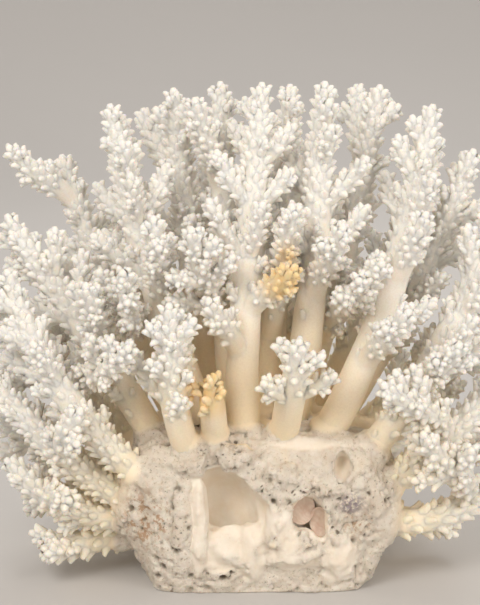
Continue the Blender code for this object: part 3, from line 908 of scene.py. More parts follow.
# %% Every limb with its shoots and twigs
OUTER_SHARES = np.linspace(0.25, 1, 12)
FAR_AWAY = np.full((1, 3), 1e6)
crowd = Crowd()
for number, limb in enumerate(limbs):
    crowd.add(limb, number)
    for shoot in limb.shoots:
        crowd.add(shoot, number, 0.4)
twig_count = 0
for number, limb in enumerate(limbs):
    density = nubby(limb)
    length = limb.length()
    closest, apart = BROKEN_TWIGS if limb.name == BROKEN else WHOLE_TWIGS
    for step in range(int(length / apart)):
        from_tip = closest + step * apart
        share = 1 - from_tip / length
        if share < limb.start or density(np.array([share]))[0] < FEWEST_TWIGS:
            break
        if from_tip > YOUNG_FULL and step % 2:
            continue
        reach = min(YOUNG_TWIG + TWIG_GROWTH * from_tip, TWIG_LONGEST)
        if limb.name == BROKEN:
            reach = BROKEN_TWIG
        twig = twig_limb(limb, share, step * GOLDEN + number, reach)
        tip = twig.points(np.array([0.7, 1.0]))
        own = np.concatenate([shoot.points(OUTER_SHARES) for shoot in limb.shoots] or [FAR_AWAY])
        beside = np.linalg.norm(tip[:, None] - own[None], axis=-1).min() > SHOOT_THICKNESS + 1.0
        free = beside and not crowd.near(tip, TWIG_ROOM, number).any()
        if free and tip[:, 2].min() > TWIG_FLOOR_ROOM:
            limb.twigs.append(twig)
            twig_count += 1
print("twigs:", twig_count)

# %% [markdown]
# ## One piece for each stem and fork
#
# A piece holds the tube of its limb, its shoots with three small twigs each, its twigs, and all
# their cups. A stem's tube starts just inside the lump, and a fork's just inside its stem, so no
# seam shows where the solids are split.

# %% Limb pieces
COARSER, COARSE_BELOW, COARSE_OVER = 0.3, 125.0, 25.0
STEM_SIDES, SHOOT_SIDES, TINY_SIDES = 16, 10, 8
SHOOT_TWIGS, SHOOT_TWIG_FROM, SHOOT_TWIG_STEP, SHOOT_TWIG_LENGTH = 3, 6.5, 4.6, 2.8
TWIG_LEAD, TWIG_CUP_SIZE = (1.4, 3.2), 0.85


def clear_of(tubes, reach=0.6):
    """A test for places that lie inside any of the given tubes."""
    if not tubes:
        return None
    shares = np.linspace(0.1, 0.9, 14)
    centres = np.concatenate([tube.points(shares) for tube in tubes])
    radii = np.concatenate([wall_radius(tube, shares) for tube in tubes])

    def inside(places):
        apart = np.linalg.norm(places[:, None] - centres[None], axis=-1)
        return (apart < radii[None] * reach + 0.2).any(axis=1)

    return inside


def coarseness(limb):
    """Limbs that end deep in the bush carry fewer and bigger cups than those that reach the light."""
    reach = np.linalg.norm(limb.handles[3] - GROWTH_MIDDLE)
    return 1.0 + COARSER * float(np.clip((COARSE_BELOW - reach) / COARSE_OVER, 0, 1))


def limb_piece(limb, number):
    """The tube, shoots, twigs and cups of one stem or fork, as one object."""
    chance = np.random.default_rng(1000 + number)
    heap = Heap()
    add_wall(heap, limb, 0.0, STEM_SIDES, number)
    lead_cup(heap, limb)
    children = limb.shoots + limb.twigs + limb.forks
    bare = 0.0 if limb.parent is None else 0.8 * limb.start
    size = coarseness(limb)
    cups = cover_with_cups(heap, limb, nubby(limb, bare), chance, size, clear_of(children))
    for order, shoot in enumerate(limb.shoots):
        small = []
        for step in range(SHOOT_TWIGS):
            share = 1 - (SHOOT_TWIG_FROM + SHOOT_TWIG_STEP * step) / shoot.length()
            if share > 0.5:
                small.append(twig_limb(shoot, share, step * GOLDEN + order, SHOOT_TWIG_LENGTH + step))
        add_wall(heap, shoot, 0.12, SHOOT_SIDES, number + order, step=2.6)
        lead_cup(heap, shoot)
        cups += cover_with_cups(heap, shoot, shoot_density(shoot), chance, size, clear_of(small))
        for twig in small:
            cups += add_twig(heap, twig, chance, TWIG_CUP_SIZE * size)
    for twig in limb.twigs:
        cups += add_twig(heap, twig, chance, TWIG_CUP_SIZE * size)
    return heap.piece(limb.name + "_surface"), cups


def shoot_density(shoot):
    """Cups over a shoot, from where it leaves its parent's wall, and more of them further out."""
    first = (shoot.parent.radii(shoot.at) + 0.8) / shoot.length()
    whole = nubby(shoot)

    def density(shares):
        return np.clip((shares - first) / 0.15, 0, 1) * (0.25 + 0.75 * whole(shares))

    return density


def add_twig(heap, twig, chance, size):
    """The tube of a twig, its lead cup and its few side cups."""
    add_wall(heap, twig, 0.0, TINY_SIDES, chance.uniform(0, 6), step=2.2)
    lead_cup(heap, twig, *TWIG_LEAD)
    return cover_with_cups(heap, twig, lambda t: np.clip((t - 0.35) / 0.1, 0, 0.9), chance, size)


pieces, cup_total, triangle_total = {}, 0, 0
for number, limb in enumerate(limbs):
    pieces[limb.name], cups = limb_piece(limb, number)
    cup_total += cups
    triangle_total += len(pieces[limb.name].data.polygons)
largest = max(pieces.values(), key=lambda piece: len(piece.data.polygons))
print("cups:", cup_total, "triangles:", triangle_total, "largest:", largest.name, len(largest.data.polygons))

# %% [markdown]
# Noise on arrays: every cell of a lattice gets a repeatable random number from its whole-number
# place. Blending the eight corners of a cell gives smooth noise. One random centre and radius in
# each cell gives round pits, if a place looks at its own cell and the 26 around it.

# %% Noise
def hashed(cells, seed):
    """A repeatable number from 0 to 1 for each whole-number place."""
    mixed = cells.astype(np.int64) @ np.array([73856093, 19349663, 83492791]) + seed * 7919
    mixed = (mixed ^ (mixed >> 13)) * 1274126177 & 0x7FFFFFFF
    mixed = (mixed ^ (mixed >> 16)) * 668265263 & 0x7FFFFFFF
    return mixed / 0x7FFFFFFF


def smooth_noise(places, size, seed):
    """Noise from -1 to 1 with features of that size: eight lattice numbers blended smoothly."""
    scaled = places / size
    cell = np.floor(scaled).astype(np.int64)
    part = scaled - cell
    part = part * part * (3 - 2 * part)
    total = 0.0
    for corner in np.ndindex(2, 2, 2):
        weight = np.prod(np.where(np.array(corner) == 1, part, 1 - part), axis=1)
        total = total + weight * hashed(cell + np.array(corner), seed)
    return 2 * total - 1


def round_pits(places, size, smallest, largest, share, seed):
    """How deep a place lies in a pit, 0 to 1: 1 - (distance / radius)^2 from the deepest centre."""
    cell = np.floor(places / size).astype(np.int64)
    depth = np.zeros(len(places))
    for step in np.ndindex(3, 3, 3):
        near = cell + np.array(step) - 1
        centre = (near + np.stack([hashed(near, seed + k) for k in (1, 2, 3)], axis=1)) * size
        radius = smallest + (largest - smallest) * hashed(near, seed + 4)
        radius = np.where(hashed(near, seed + 5) < share, radius, 1e-6)
        depth = np.maximum(depth, 1 - ((places - centre) ** 2).sum(axis=1) / radius**2)
    return depth


print("noise at three places:", smooth_noise(np.eye(3), 2.0, 1).round(2))

# %% [markdown]
# ## The lump of reef rock
#
# The lump is a grid too: a rounded oblong outline at each height. Its hollows, folds and rubble are
# uneven balls, and each stem leaves a stub on it that widens to its foot.

# %% Solids of the lump
LUMP_COLUMNS, LUMP_ROWS = 96, 30
STUB_SIDES, STUB_ROWS = 20, 7
STUB_INSIDE, STUB_FOOT, STUB_FADE = 0.9, 0.4, 2.2


def lump_surface():
    """At each height a superellipse, narrowing to the top by the same power and towards the foot evenly."""
    turn = turns(LUMP_COLUMNS)
    power = 2 / LUMP_SQUARENESS
    across = np.sign(np.cos(turn)) * np.abs(np.cos(turn)) ** power
    deep = np.sign(np.sin(turn)) * np.abs(np.sin(turn)) ** power
    heights = LUMP_TOP * np.sin(np.linspace(0, np.pi / 2, LUMP_ROWS))[:, None]
    rise = (heights - LUMP_MIDDLE[2]) / LUMP_HALF[2]
    swell = (1 - np.clip(rise, 0, 0.9985) ** LUMP_SQUARENESS) ** (1 / LUMP_SQUARENESS)
    swell = swell * (1 - (1 - FOOT_SHARE) * np.clip(-rise, 0, None) * LUMP_HALF[2] / LUMP_MIDDLE[2])
    ripple = np.sin(3 * turn + 0.6 + heights / 17) + np.sin(5 * turn - heights / 11)
    size = swell * (1 + LUMP_RIPPLE * ripple)
    x, y = LUMP_HALF[0] * across * size, LUMP_HALF[1] * deep * size
    corners = np.stack([x, y, heights + 0 * size], axis=-1)
    return closed_tube(corners + LUMP_MIDDLE * np.array([1, 1, 0]))


def ball_surface(middle, half, columns=48, rows=26, uneven=0.07):
    """An ellipsoid: middle + half (cos v cos u, cos v sin u, sin v), made uneven by noise."""
    turn = turns(columns)
    rise = np.linspace(-np.pi / 2, np.pi / 2, rows + 2)[1:-1, None]
    x, y = np.cos(rise) * np.cos(turn), np.cos(rise) * np.sin(turn)
    corners = np.stack([x, y, np.sin(rise) + 0 * turn], axis=-1)
    points = np.concatenate([corners.reshape(-1, 3), [[0, 0, -1.0], [0, 0, 1.0]]])
    moved = points + np.array(middle)
    bulge = smooth_noise(moved, 0.55, 5) + 0.5 * smooth_noise(moved, 0.27, 6)
    points = points * (1 + uneven * bulge)[:, None]
    return np.array(middle) + points * np.array(half), grid_triangles(rows, columns)


def stub_surface(limb):
    """A tube inside the stem that covers it, flaring by an exponential where it leaves the lump."""
    shares = np.linspace(0, limb.start - SPLIT_GAP / limb.length(), STUB_ROWS)
    foot = STUB_FOOT * np.exp(-shares * limb.length() / STUB_FADE)
    size = wall_radius(limb, shares) * (STUB_INSIDE + foot)
    out = spokes(turns(STUB_SIDES), *side_frame(limb, shares))
    corners = limb.points(shares)[:, None] + size[:, None, None] * out
    sunk = corners[:1] - STUB_SUNK * limb.directions(0.0)
    return closed_tube(np.concatenate([sunk, corners]))


print("corners of the plain lump:", len(lump_surface()[0]))

# %% [markdown]
# On the broken front the hollows have folds of smooth skeleton under and beside them, and lumps of
# rubble over them. All are joined to the lump, and the hollows cut out of it, with Booleans. Then
# the whole is remade as even small faces, which softens the seams and leaves one closed skin with
# corners enough for the weathering. Sculpting would do the same, but not twice alike.

# %% Joined, hollowed and remade
# Smooth lobes and lumps of rubble: middle, and half size along X, Y and Z.
LOBES = {
    "cave_edge": ((-26.5, -35.5, 33.0), (4.2, 8.0, 22.0)),
    "cave_lip": ((-16.0, -33.5, 21.0), (12.0, 7.5, 10.5)),
    "cave_fold": ((-3.0, -35.5, 19.0), (7.0, 7.0, 12.5)),
    "middle_lobe": ((9.5, -36.0, 30.0), (7.5, 7.5, 15.0)),
    "lower_lobe": ((15.0, -36.0, 21.0), (14.0, 7.0, 9.0)),
    "right_fold": ((35.0, -34.0, 19.0), (9.0, 7.0, 12.0)),
    "top_lip": ((24.0, -27.0, 66.0), (24.0, 7.0, 5.5)),
}
RUBBLE = {
    "cave_wall": ((-33.0, -34.5, 34.0), (5.5, 8.0, 24.0)),
    "left_ear": ((-47.0, -30.0, 47.0), (8.0, 8.0, 13.0)),
    "left_brow": ((-30.0, -34.0, 60.0), (9.0, 6.5, 6.5)),
    "middle_brow": ((-11.0, -36.0, 63.5), (9.0, 5.5, 6.0)),
    "right_brow": ((10.0, -37.0, 55.0), (8.5, 5.5, 7.5)),
    "hollow_brow": ((29.0, -38.0, 49.5), (9.0, 5.0, 4.5)),
    "right_ear": ((50.0, -29.0, 44.0), (8.0, 8.0, 12.0)),
}
FORMS = {**LOBES, **RUBBLE}
CARVED = {**HOLLOWS, "cave_bay": ((-3.0, -44.0, 35.0), (9.0, 14.0, 14.0))}
LOBE_UNEVEN, SOFTENING = 0.22, 7
VOXEL = 0.9


def helper(name, surface):
    """A piece that is only there for the Booleans."""
    points, triangles = surface
    return mesh_piece(name, points, triangles, {})


def helper_set(name, things):
    """Helpers in a collection of their own, which a Boolean can name."""
    group = bpy.data.collections.new(name)
    for thing in things:
        bpy.context.scene.collection.objects.unlink(thing)
        group.objects.link(thing)
    bpy.context.scene.collection.children.link(group)
    return group


def apply_all(thing):
    """A piece's mesh after its modifiers, as arrays: points in millimetres, normals, triangles."""
    graph = bpy.context.evaluated_depsgraph_get()
    mesh = thing.evaluated_get(graph).to_mesh()
    mesh.calc_loop_triangles()
    points = np.empty(len(mesh.vertices) * 3, np.float32)
    normals = np.empty(len(mesh.vertices) * 3, np.float32)
    triangles = np.empty(len(mesh.loop_triangles) * 3, np.int32)
    mesh.vertices.foreach_get("co", points)
    mesh.vertex_normals.foreach_get("vector", normals)
    mesh.loop_triangles.foreach_get("vertices", triangles)
    return points.reshape(-1, 3) / METRES, normals.reshape(-1, 3), triangles.reshape(-1, 3)


lump = helper("lump", lump_surface())
stubs = [helper(limb.name + "_stub", stub_surface(limb)) for limb in limbs if limb.parent is None]
forms = [helper(name, ball_surface(*shape, uneven=LOBE_UNEVEN)) for name, shape in FORMS.items()]
hollows = [helper(name, ball_surface(*shape)) for name, shape in CARVED.items()]
groups = [helper_set("stubs", stubs), helper_set("hollows", hollows), helper_set("forms", forms)]
for group, operation in zip(groups, ("UNION", "DIFFERENCE", "UNION")):
    boolean = lump.modifiers.new(group.name, "BOOLEAN")
    boolean.operation = operation
    boolean.solver = "EXACT"
    boolean.operand_type = "COLLECTION"
    boolean.collection = group
remesh = lump.modifiers.new("even_faces", "REMESH")
remesh.mode = "VOXEL"
remesh.voxel_size = VOXEL * METRES
lump.modifiers.new("softened", "SMOOTH").iterations = SOFTENING
rock, rock_normals, rock_triangles = apply_all(lump)
for thing in [lump, *stubs, *forms, *hollows]:
    bpy.data.objects.remove(thing)
for group in groups:
    bpy.data.collections.remove(group)
print("rock corners:", len(rock), "triangles:", len(rock_triangles))

# %% [markdown]
# The rock is weathered by moving every corner in or out along its normal, by arrays of noise: broad
# dents, crumbs, and the round pits that boring animals leave. Living skeleton had crept over its top
# and down its back, smooth with small knobs. A displacement in the material would look alike from
# the front, but the pits would be missing from the outline and from the mesh. The same arrays are
# kept as values of the corners, so that the finish knows where the rock is smooth, pitted or
# overgrown.

# %% Weathered surface of the lump
# Each kind of pit: how far apart, smallest and largest radius, share of places, and depth.
PITS = ((7.0, 1.3, 2.8, 0.75, 3.6), (4.0, 0.8, 1.5, 0.75, 2.2), (2.2, 0.5, 0.8, 0.8, 1.0))
SWELL, ROUGH, FINE, KNOB = 1.6, 1.6, 0.9, 0.8
DEEPEST, HIGHEST = -4.0, 1.4


def nearest(places, balls):
    """Distance from the middle of the nearest ball, as a share of its half sizes."""
    apart = [np.linalg.norm((places - middle) / np.array(half), axis=1) for middle, half in balls.values()]
    return np.min(apart, axis=0)


def front_scar(places, normals):
    """1 on the broken front and its edges, 0 on the smooth top and round the back."""
    facing = np.clip((-normals[:, 1] + 0.35) / 0.6, 0, 1)
    return facing * np.clip((-places[:, 1] + 4.0) / 20.0, 0, 1)


# It is smooth in the hollows, behind their rims, and on the folds. Rubble breaks both.
ragged = 0.04 * smooth_noise(rock, 5.0, 15)
from_hollow = nearest(rock, CARVED) + ragged
in_lobe = 0.85 * np.clip((1.15 - nearest(rock, LOBES) + ragged) / 0.16, 0, 1)
inside = np.clip((0.99 - lump_depth(rock)) / 0.06, 0, 1)
smooth = np.maximum(np.clip((1.11 - from_hollow) / 0.06, 0, 1) * inside, in_lobe)
smooth = smooth * (1 - 0.9 * np.clip((1.1 - nearest(rock, RUBBLE)) / 0.12, 0, 1))
# It is roughest in patches and round the hollows, and calmest where skeleton has crept over it.
edge = np.clip(1 - np.abs(from_hollow - 1.25) / 0.2, 0, 1)
scar = front_scar(rock, rock_normals)
patchy = np.clip(0.7 + 0.7 * smooth_noise(rock, 15.0, 14) + 0.5 * edge, 0.25, 1.3)
on_stub = np.clip((lump_depth(rock) - 1.03) / 0.05, 0, 1)
on_stub = on_stub * np.clip((nearest(rock, FORMS) - 1.15) / 0.1, 0, 1)
creep = smooth_noise(rock, 16.0, 16) + 0.6 * smooth_noise(rock, 6.0, 17)
creep = 0.8 - 1.5 * scar + 0.7 * creep - np.clip((34 - rock[:, 2]) / 30, 0, 1)
grown = np.maximum(on_stub, np.clip(2.5 * creep, 0, 1) * (1 - smooth))
rough = (1 - smooth) * (1 - 0.85 * grown) * patchy
# Each corner moves out by the swell, the crumbs and the knobs, and in by the pits.
flat_foot = np.clip(rock[:, 2] / 1.5, 0, 1)
moved = SWELL * smooth_noise(rock, 17.0, 11) * (1 - 0.8 * smooth)
crumbs = np.abs(smooth_noise(rock, 5.0, 12))
moved += rough * (ROUGH * (2 * crumbs - 0.6) + FINE * (2 * np.abs(smooth_noise(rock, 2.3, 13)) - 0.6))
# pit marks the dips between crumbs and the round pits, where the finish paints shade.
pit = 0.55 * rough * np.clip(1 - 7 * crumbs, 0, 1)
for order, (size, smallest, largest, share, depth) in enumerate(PITS):
    held = round_pits(rock, size, smallest, largest, share, 20 + 10 * order) * rough
    moved -= depth * held
    pit = np.maximum(pit, held * min(depth, 1.0))
moved += KNOB * grown * np.clip(round_pits(rock, 5.0, 1.0, 1.9, 0.8, 60), 0, 1)
moved = moved * flat_foot * (1 - on_stub)
rock = rock + np.clip(moved, DEEPEST, HIGHEST)[:, None] * rock_normals
rock[:, 2] = np.maximum(rock[:, 2], 0.0)
values = {"pit": pit, "smooth": smooth, "scar": scar, "grown": grown}
pieces["base"] = mesh_piece("base_surface", rock, rock_triangles, values)
print("deepest pit:", round(float(min(-moved.min(), -DEEPEST)), 2), "mm")

# %% [markdown]
# In the smaller hollow sits what is left of a shell that lived in the rock: two thin curved leaves
# of pinkish nacre. A leaf is a cap of an ellipsoid with a thickness, closed at its rim.

# %% Shell in the small hollow
LEAF_COLUMNS = 28
SHELLS = {
    "shell_left": ((19.5, -37.0, 39.5), (6.4, 3.0, 7.0), 0.5),
    "shell_right": ((27.0, -36.0, 33.5), (4.8, 2.8, 7.0), -0.4),
}


def shell_leaf(middle, half, lean):
    """Polar rings, outer wall then inner wall: radius share s, depth 1 - s^2, with growth lines."""
    turn = turns(LEAF_COLUMNS)
    share = np.concatenate([np.linspace(0.1, 1, 9), np.linspace(1, 0.1, 9)])[:, None]
    inner = np.concatenate([np.zeros(9), np.ones(9)])[:, None]
    depth = (1 - share**2) * (1 - 0.12 * inner) + 0.02 * np.sin(30 * share)
    across = share * (1 - 0.05 * inner)
    corners = np.stack([across * np.cos(turn), depth + 0 * turn, across * np.sin(turn)], axis=-1)
    poles = np.array([[0, 1.0, 0], [0, 0.86, 0]])
    points = np.concatenate([corners.reshape(-1, 3), poles]) * np.array(half)
    c, s = math.cos(lean), math.sin(lean)
    points = points @ np.array([[c, s, 0], [-s, c, 0], [0, 0, 1]]) + np.array(middle)
    return points, grid_triangles(len(share), LEAF_COLUMNS)


leaves = [shell_leaf(*shape) for shape in SHELLS.values()]
points = np.concatenate([leaf[0] for leaf in leaves])
triangles = np.concatenate([leaf[1] + order * len(leaf[0]) for order, leaf in enumerate(leaves)])
pieces["shell"] = mesh_piece("shell_remains", points, triangles, {})
print("shell triangles:", len(triangles))

# %% [markdown]
# ## Finishes
#
# Finishes are written as arithmetic: a small class stands for one output of a node, and adding or
# multiplying two of them adds the node that does it. Colours are blended with Mix nodes. The same
# nodes could be wired by hand in the shader editor, but a formula is quicker to read and to change.

# %% Shader arithmetic
class Value:
    """One output of a node. Arithmetic on it adds Math nodes."""

    def __init__(self, finish, socket):
        self.finish = finish
        self.socket = socket

    def math(self, operation, first, second):
        return self.finish.node("ShaderNodeMath", {"operation": operation}, {0: first, 1: second})

    def __add__(self, other):
        return self.math("ADD", self, other)

    __radd__ = __add__

    def __sub__(self, other):
        return self.math("SUBTRACT", self, other)

    def __rsub__(self, other):
        return self.math("SUBTRACT", other, self)

    def __mul__(self, other):
        return self.math("MULTIPLY", self, other)

    __rmul__ = __mul__

    def __truediv__(self, other):
        return self.math("DIVIDE", self, other)

    def between(self, low, high):
        """0 below low, 1 above high, and a smooth step from one to the other."""
        settings = {"interpolation_type": "SMOOTHSTEP"}
        inputs = {"Value": self, "From Min": low, "From Max": high}
        return self.finish.node("ShaderNodeMapRange", settings, inputs)


class Finish:
    """A material and its nodes."""

    def __init__(self, name, **fixed):
        self.material = bpy.data.materials.new(name)
        self.material.use_nodes = True
        self.tree = self.material.node_tree
        self.shader = self.tree.nodes["Principled BSDF"]
        for socket, value in fixed.items():
            self.shader.inputs[socket.replace("_", " ")].default_value = value
        self.place = self.node("ShaderNodeTexCoord", output="Object")

    def node(self, kind, settings=None, inputs=None, output=0):
        """Adds a node: its settings first, then the values or links of its sockets."""
        added = self.tree.nodes.new(kind)
        for key, value in (settings or {}).items():
            setattr(added, key, value)
        for key, value in (inputs or {}).items():
            self.put(added.inputs[key], value)
        return Value(self, added.outputs[output])

    def put(self, socket, value):
        if isinstance(value, Value):
            self.tree.links.new(value.socket, socket)
        else:
            socket.default_value = value

    def set(self, socket, value):
        self.put(self.shader.inputs[socket], value)

    def corner_value(self, name):
        return self.node("ShaderNodeAttribute", {"attribute_name": name}, output="Fac")

    def mix(self, share, first, second):
        """The first colour where share is 0 and the second where it is 1."""
        return self.node("ShaderNodeMix", {"data_type": "RGBA"}, {0: share, 6: first, 7: second}, output=2)

    def noise(self, size, detail=3.0, roughness=0.55):
        """Noise with features of that size in millimetres."""
        inputs = {"Vector": self.place, "Scale": 1 / (size * METRES)}
        inputs |= {"Detail": detail, "Roughness": roughness}
        return self.node("ShaderNodeTexNoise", None, inputs, output="Fac")

    def bump(self, height, depth, strength=1.0):
        """A normal from a height; depth is in millimetres."""
        inputs = {"Height": height, "Distance": depth * METRES, "Strength": strength}
        return self.node("ShaderNodeBump", None, inputs)

    def distance_from(self, place):
        """Distance in millimetres from a place given in millimetres."""
        point = tuple(float(c) * METRES for c in place)
        apart = {"operation": "DISTANCE"}
        return self.node("ShaderNodeVectorMath", apart, {0: self.place, 1: point}, output="Value") / METRES

    def patch(self, middle, far, near):
        """1 up to near from the middle of a patch, and 0 beyond far."""
        return self.distance_from(middle).between(far, near)


print("helpers of a finish:", [name for name in vars(Finish) if not name.startswith("_")])

# %% [markdown]
# Bleached skeleton is chalk white on its outer limbs and creamy to tan deep in the bush. That tan is
# partly the older stems' own colour and partly painted shade, for the bush is darker inside. So the
# colour follows the distance from the middle of growth. It turns warmer and darker in the crevices
# between the cups as painted shade, and whiter on their rims as painted light. Two limbs in front
# are stained orange. A fine grain roughens it, and a little light passes through.

# %% Branch finish
WHITE = (0.93, 0.90, 0.85, 1.0)
CREAM = (0.95, 0.87, 0.73, 1.0)
# TAN, deep in the bush, is the older stems' own tone together with painted shade.
TAN = (0.94, 0.79, 0.56, 1.0)
ORANGE = (0.92, 0.64, 0.31, 1.0)
DUST = (0.74, 0.61, 0.45, 1.0)

# Stained limbs: share along the limb of the stain's middle, and how far it fades and is full, in mm.
STAINS = {"centre_stub": (0.85, 17.0, 7.0), "centre_stem_1_fork_2": (0.8, 19.0, 8.0)}


def stem_tone_and_depth_shade(finish, away):
    """Tan deep in the bush, and cream further out, with the distance from the middle of growth: partly the
    stems' own tone, partly painted shade in the depths.
    """
    return finish.mix(away.between(50.0, 112.0), TAN, CREAM)


def branch_finish():
    finish = Finish("bleached_branch", Roughness=0.78, Subsurface_Weight=0.4, Subsurface_Scale=0.003)
    finish.shader.inputs["Subsurface Radius"].default_value = (1.0, 0.62, 0.38)
    rim = finish.corner_value("rim")
    away = finish.distance_from(GROWTH_MIDDLE) + 24 * (finish.noise(14.0) - 0.5)
    # Whiter further out, partly the tips' own white and partly painted shade deeper in; whiter on the rims as
    # painted light, and warmer in the crevices as painted shade.
    pale = away.between(70.0, 130.0) * (0.7 + 0.3 * rim) + 0.12 * rim
    colour = finish.mix(pale, stem_tone_and_depth_shade(finish, away), WHITE)
    grain = finish.noise(0.9, 4.0, 0.7)
    colour = finish.mix((0.62 - grain).between(0.0, 0.3) * 0.25, colour, DUST)
    stain = 0.0
    for limb in limbs:
        if limb.name in STAINS:
            share, far, near = STAINS[limb.name]
            stain = stain + finish.patch(limb.points(share), far, near)
    colour = finish.mix(stain * (0.5 + 0.4 * finish.noise(6.0).between(0.25, 0.6)), colour, ORANGE)
    finish.set("Base Color", colour)
    finish.set("Roughness", 0.68 + 0.2 * finish.noise(2.0))
    height = grain + 0.6 * finish.noise(0.35, 2.0)
    finish.set("Normal", finish.bump(height, 0.22, 0.6))
    return finish.material


branch = branch_finish()
print("branch finish:", len(branch.node_tree.nodes), "nodes")


# %% [markdown]
# The lump is older: grey-cream, darkened in its pits as painted shade, rusty or purple where sponge
# has rotted, and smooth and paler in the hollows. Where living skeleton has crept over it, it has the
# colour of the stems, with their tone and painted depth shade.

# %% Rock finish
BONE = (0.90, 0.83, 0.72, 1.0)
GREY = (0.77, 0.68, 0.56, 1.0)
GRAINY = (0.64, 0.51, 0.34, 1.0)
DARK = (0.14, 0.10, 0.06, 1.0)
RUST = (0.45, 0.24, 0.11, 1.0)
PURPLE = (0.30, 0.24, 0.27, 1.0)
INNER = (0.84, 0.74, 0.60, 1.0)

# Stained patches of the front: middle, and how far each fades and is full, in mm.
RUSTY_LEFT = ((-50.0, -36.0, 34.0), 20.0, 6.0)
RUSTY_RIGHT = ((44.0, -38.0, 32.0), 10.0, 2.0)
PURPLISH = ((41.0, -40.0, 42.0), 8.0, 3.0)


def rock_finish():
    finish = Finish("reef_rock", Roughness=0.85, Subsurface_Weight=0.08, Subsurface_Scale=0.0015)
    pit, smooth, scar, grown = (finish.corner_value(name) for name in ("pit", "smooth", "scar", "grown"))
    colour = finish.mix(finish.noise(9.0, 5.0, 0.65).between(0.3, 0.68), GREY, BONE)
    colour = finish.mix(finish.noise(2.2, 4.0, 0.8).between(0.5, 0.68) * (0.15 + 0.35 * scar), colour, GRAINY)
    speck = finish.noise(1.1, 3.0, 0.7)
    colour = finish.mix(speck.between(0.6, 0.74) * scar * (1 - smooth) * 0.7, colour, DARK)
    patches = finish.noise(3.0, 3.0, 0.7).between(0.48, 0.6)
    rusty = finish.patch(*RUSTY_LEFT) * patches + finish.patch(*RUSTY_RIGHT) * patches
    colour = finish.mix(0.75 * rusty, colour, RUST)
    purple = finish.patch(*PURPLISH) * finish.noise(2.0).between(0.4, 0.55)
    colour = finish.mix(0.8 * purple, colour, PURPLE)
    # Painted shade: nearly black in the pits and in the dips between crumbs.
    colour = finish.mix(pit.between(0.2, 0.8) * 0.85, colour, DARK)
    inner = finish.mix(finish.noise(11.0).between(0.35, 0.65), INNER, BONE)
    colour = finish.mix(smooth * 0.85, colour, inner)
    away = finish.distance_from(GROWTH_MIDDLE) + 24 * (finish.noise(14.0) - 0.5)
    colour = finish.mix(grown, colour, stem_tone_and_depth_shade(finish, away))
    finish.set("Base Color", colour)
    finish.set("Roughness", 0.9 - 0.25 * smooth)
    crumb = finish.noise(1.5, 4.0, 0.8)
    height = (1 - smooth) * (1 - grown) * (2.2 * crumb - 0.8 * speck + finish.noise(0.6, 3.0, 0.7))
    finish.set("Normal", finish.bump(height + 0.3 * finish.noise(0.5), 0.55, 0.9))
    return finish.material


rock_stone = rock_finish()
print("rock finish:", len(rock_stone.node_tree.nodes), "nodes")

# %% [markdown]
# What is left of the shell has lost its gloss: dull nacre, brown where it lay in dirt, with growth
# lines that a Wave texture draws.

# %% Shell finish
NACRE_DARK, NACRE_PALE = (0.58, 0.45, 0.35, 1.0), (0.76, 0.67, 0.56, 1.0)
NACRE_DIRT = (0.46, 0.29, 0.21, 1.0)


def shell_finish():
    """Pinkish brown nacre with faint growth lines."""
    finish = Finish("old_nacre", Roughness=0.45, Subsurface_Weight=0.1, Subsurface_Scale=0.001)
    wave = {"wave_type": "BANDS", "bands_direction": "DIAGONAL"}
    inputs = {"Vector": finish.place, "Scale": 210.0, "Distortion": 9.0, "Detail": 3.0}
    lines = finish.node("ShaderNodeTexWave", wave, inputs, output="Fac")
    colour = finish.mix(lines * 0.2, NACRE_DARK, NACRE_PALE)
    stained = finish.noise(4.0).between(0.4, 0.7) * 0.55
    finish.set("Base Color", finish.mix(stained, colour, NACRE_DIRT))
    finish.set("Normal", finish.bump(lines, 0.1, 0.4))
    return finish.material


nacre = shell_finish()
print("shell finish:", len(nacre.node_tree.nodes), "nodes")


# %% [markdown]
# Each piece takes its finish, rides on the part's one body and hides the solid that it stands for.

# %% Dressing the pieces
for name, piece in pieces.items():
    if name == "shell":
        piece.data.materials.append(nacre)
    else:
        piece.data.materials.append(rock_stone if name == "base" else branch)
        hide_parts(name)
    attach(piece, "root")
print("pieces dressed:", len(pieces))

# %% [markdown]
# ## The stage
#
# A pale sweep of paper: a floor that curves up behind the coral, as a profile carried sideways. It
# has no edge or corner that would draw the eye from the piece.

# %% Paper sweep
def sweep_surface():
    """A flat run, a quarter circle and a wall, each point carried from left to right."""
    flat = np.stack([np.linspace(-2.5, 1.1, 12), np.zeros(12)], axis=1)
    bend = np.linspace(0, np.pi / 2, 16)[1:]
    curve = np.stack([1.1 + 0.9 * np.sin(bend), 0.9 * (1 - np.cos(bend))], axis=1)
    wall = np.array([[2.0, 3.2]])
    profile = np.concatenate([flat, curve, wall])
    x = np.array([-3.5, 3.5])
    points = np.stack(np.broadcast_arrays(x[None, :], profile[:, :1], profile[:, 1:]), axis=-1).reshape(-1, 3)
    low = np.arange(len(profile) - 1) * 2
    faces = np.stack([low, low + 1, low + 3, low + 2], axis=1)
    return points, faces


points, faces = sweep_surface()
paper = bpy.data.meshes.new("paper")
paper.from_pydata(points.tolist(), [], faces.tolist())
paper.shade_smooth()
floor = bpy.data.objects.new("paper", paper)
bpy.context.scene.collection.objects.link(floor)
sheet = Finish("pale_paper", Roughness=0.9)
sheet.set("Base Color", sheet.mix(sheet.noise(400.0), (0.58, 0.57, 0.56, 1.0), (0.62, 0.61, 0.60, 1.0)))
paper.materials.append(sheet.material)
floor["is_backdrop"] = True
print("faces of the sweep:", len(faces))

# %% [markdown]
# Chalky skeleton shows its form only where light and shade meet on it, and soft lamps keep the
# shade from turning harsh. One large lamp stands high in front on the left, a weaker one fills from
# the right, and one behind picks out the tips.

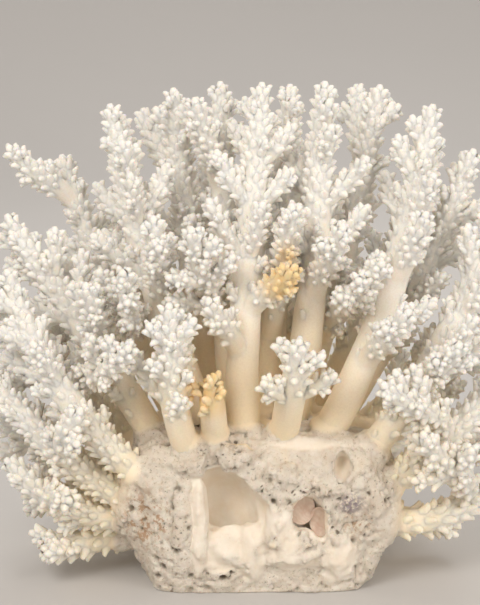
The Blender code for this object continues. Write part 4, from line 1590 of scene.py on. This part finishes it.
# %% Lamps
LAMPS = {
    "key": ((-0.55, -1.05, 1.05), 0.8, 10.5, (1.0, 0.95, 0.9)),
    "fill": ((0.9, -1.1, 0.5), 1.1, 8.0, (1.0, 0.95, 0.91)),
    "rim": ((0.2, 0.95, 1.1), 0.8, 6.0, (1.0, 0.97, 0.93)),
}
AIM = np.array([0.0, 0.0, 0.12])


def look_at(thing, target):
    """Turns a lamp or camera so that it looks from its place to the target."""
    way = mathutils.Vector(target) - thing.location
    thing.rotation_mode = "QUATERNION"
    thing.rotation_quaternion = way.to_track_quat("-Z", "Y")


for name, (place, width, power, colour) in LAMPS.items():
    light = bpy.data.lights.new(name, "AREA")
    light.shape = "DISK"
    light.size = width
    light.energy = power
    light.color = colour
    lamp = bpy.data.objects.new(name, light)
    lamp.location = place
    look_at(lamp, AIM)
    bpy.context.scene.collection.objects.link(lamp)
world = bpy.data.worlds.new("soft_room")
world.use_nodes = True
world.node_tree.nodes["Background"].inputs["Color"].default_value = (1.0, 0.93, 0.86, 1.0)
world.node_tree.nodes["Background"].inputs["Strength"].default_value = 0.55
bpy.context.scene.world = world
bpy.context.scene.view_settings.view_transform = "Standard"
print("lamps:", {name: f"{power} W" for name, (place, width, power, colour) in LAMPS.items()})

# %% [markdown]
# ## The camera
#
# The photograph was taken from a little above, straight on. Its scale is 0.45 mm a pixel at the
# coral's middle, so 605 pixels span 272 mm there, and a lens for that span at 900 mm is about
# 119 mm long.

# %% Camera
MM_PER_PIXEL, PICTURE_HEIGHT = 0.45, 605
AIM_POINT, FAR, TILT = np.array([-8.1, 0.0, 125.0]), 900.0, math.radians(12)
camera_data = bpy.data.cameras.new("camera")
camera_data.sensor_width = 36.0
camera_data.lens = 36.0 * FAR / (MM_PER_PIXEL * PICTURE_HEIGHT)
camera = bpy.data.objects.new("camera", camera_data)
camera.location = (AIM_POINT + FAR * np.array([0.0, -math.cos(TILT), math.sin(TILT)])) * METRES
look_at(camera, AIM_POINT * METRES)
bpy.context.scene.collection.objects.link(camera)
bpy.context.scene.camera = camera
print("lens:", round(camera_data.lens, 1), "mm")

# %% [markdown]
# The solids were measured at the start. Now what is seen is measured too, and the sizes of both
# boxes are printed side by side.

# %% Sizes, and the end
VISUAL_BOX = [list(corner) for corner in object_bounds()]
for label, low, high in (("cad", *CAD_BOX), ("visual", *VISUAL_BOX)):
    print(label, [round((b - a) * 1000, 1) for a, b in zip(low, high)])
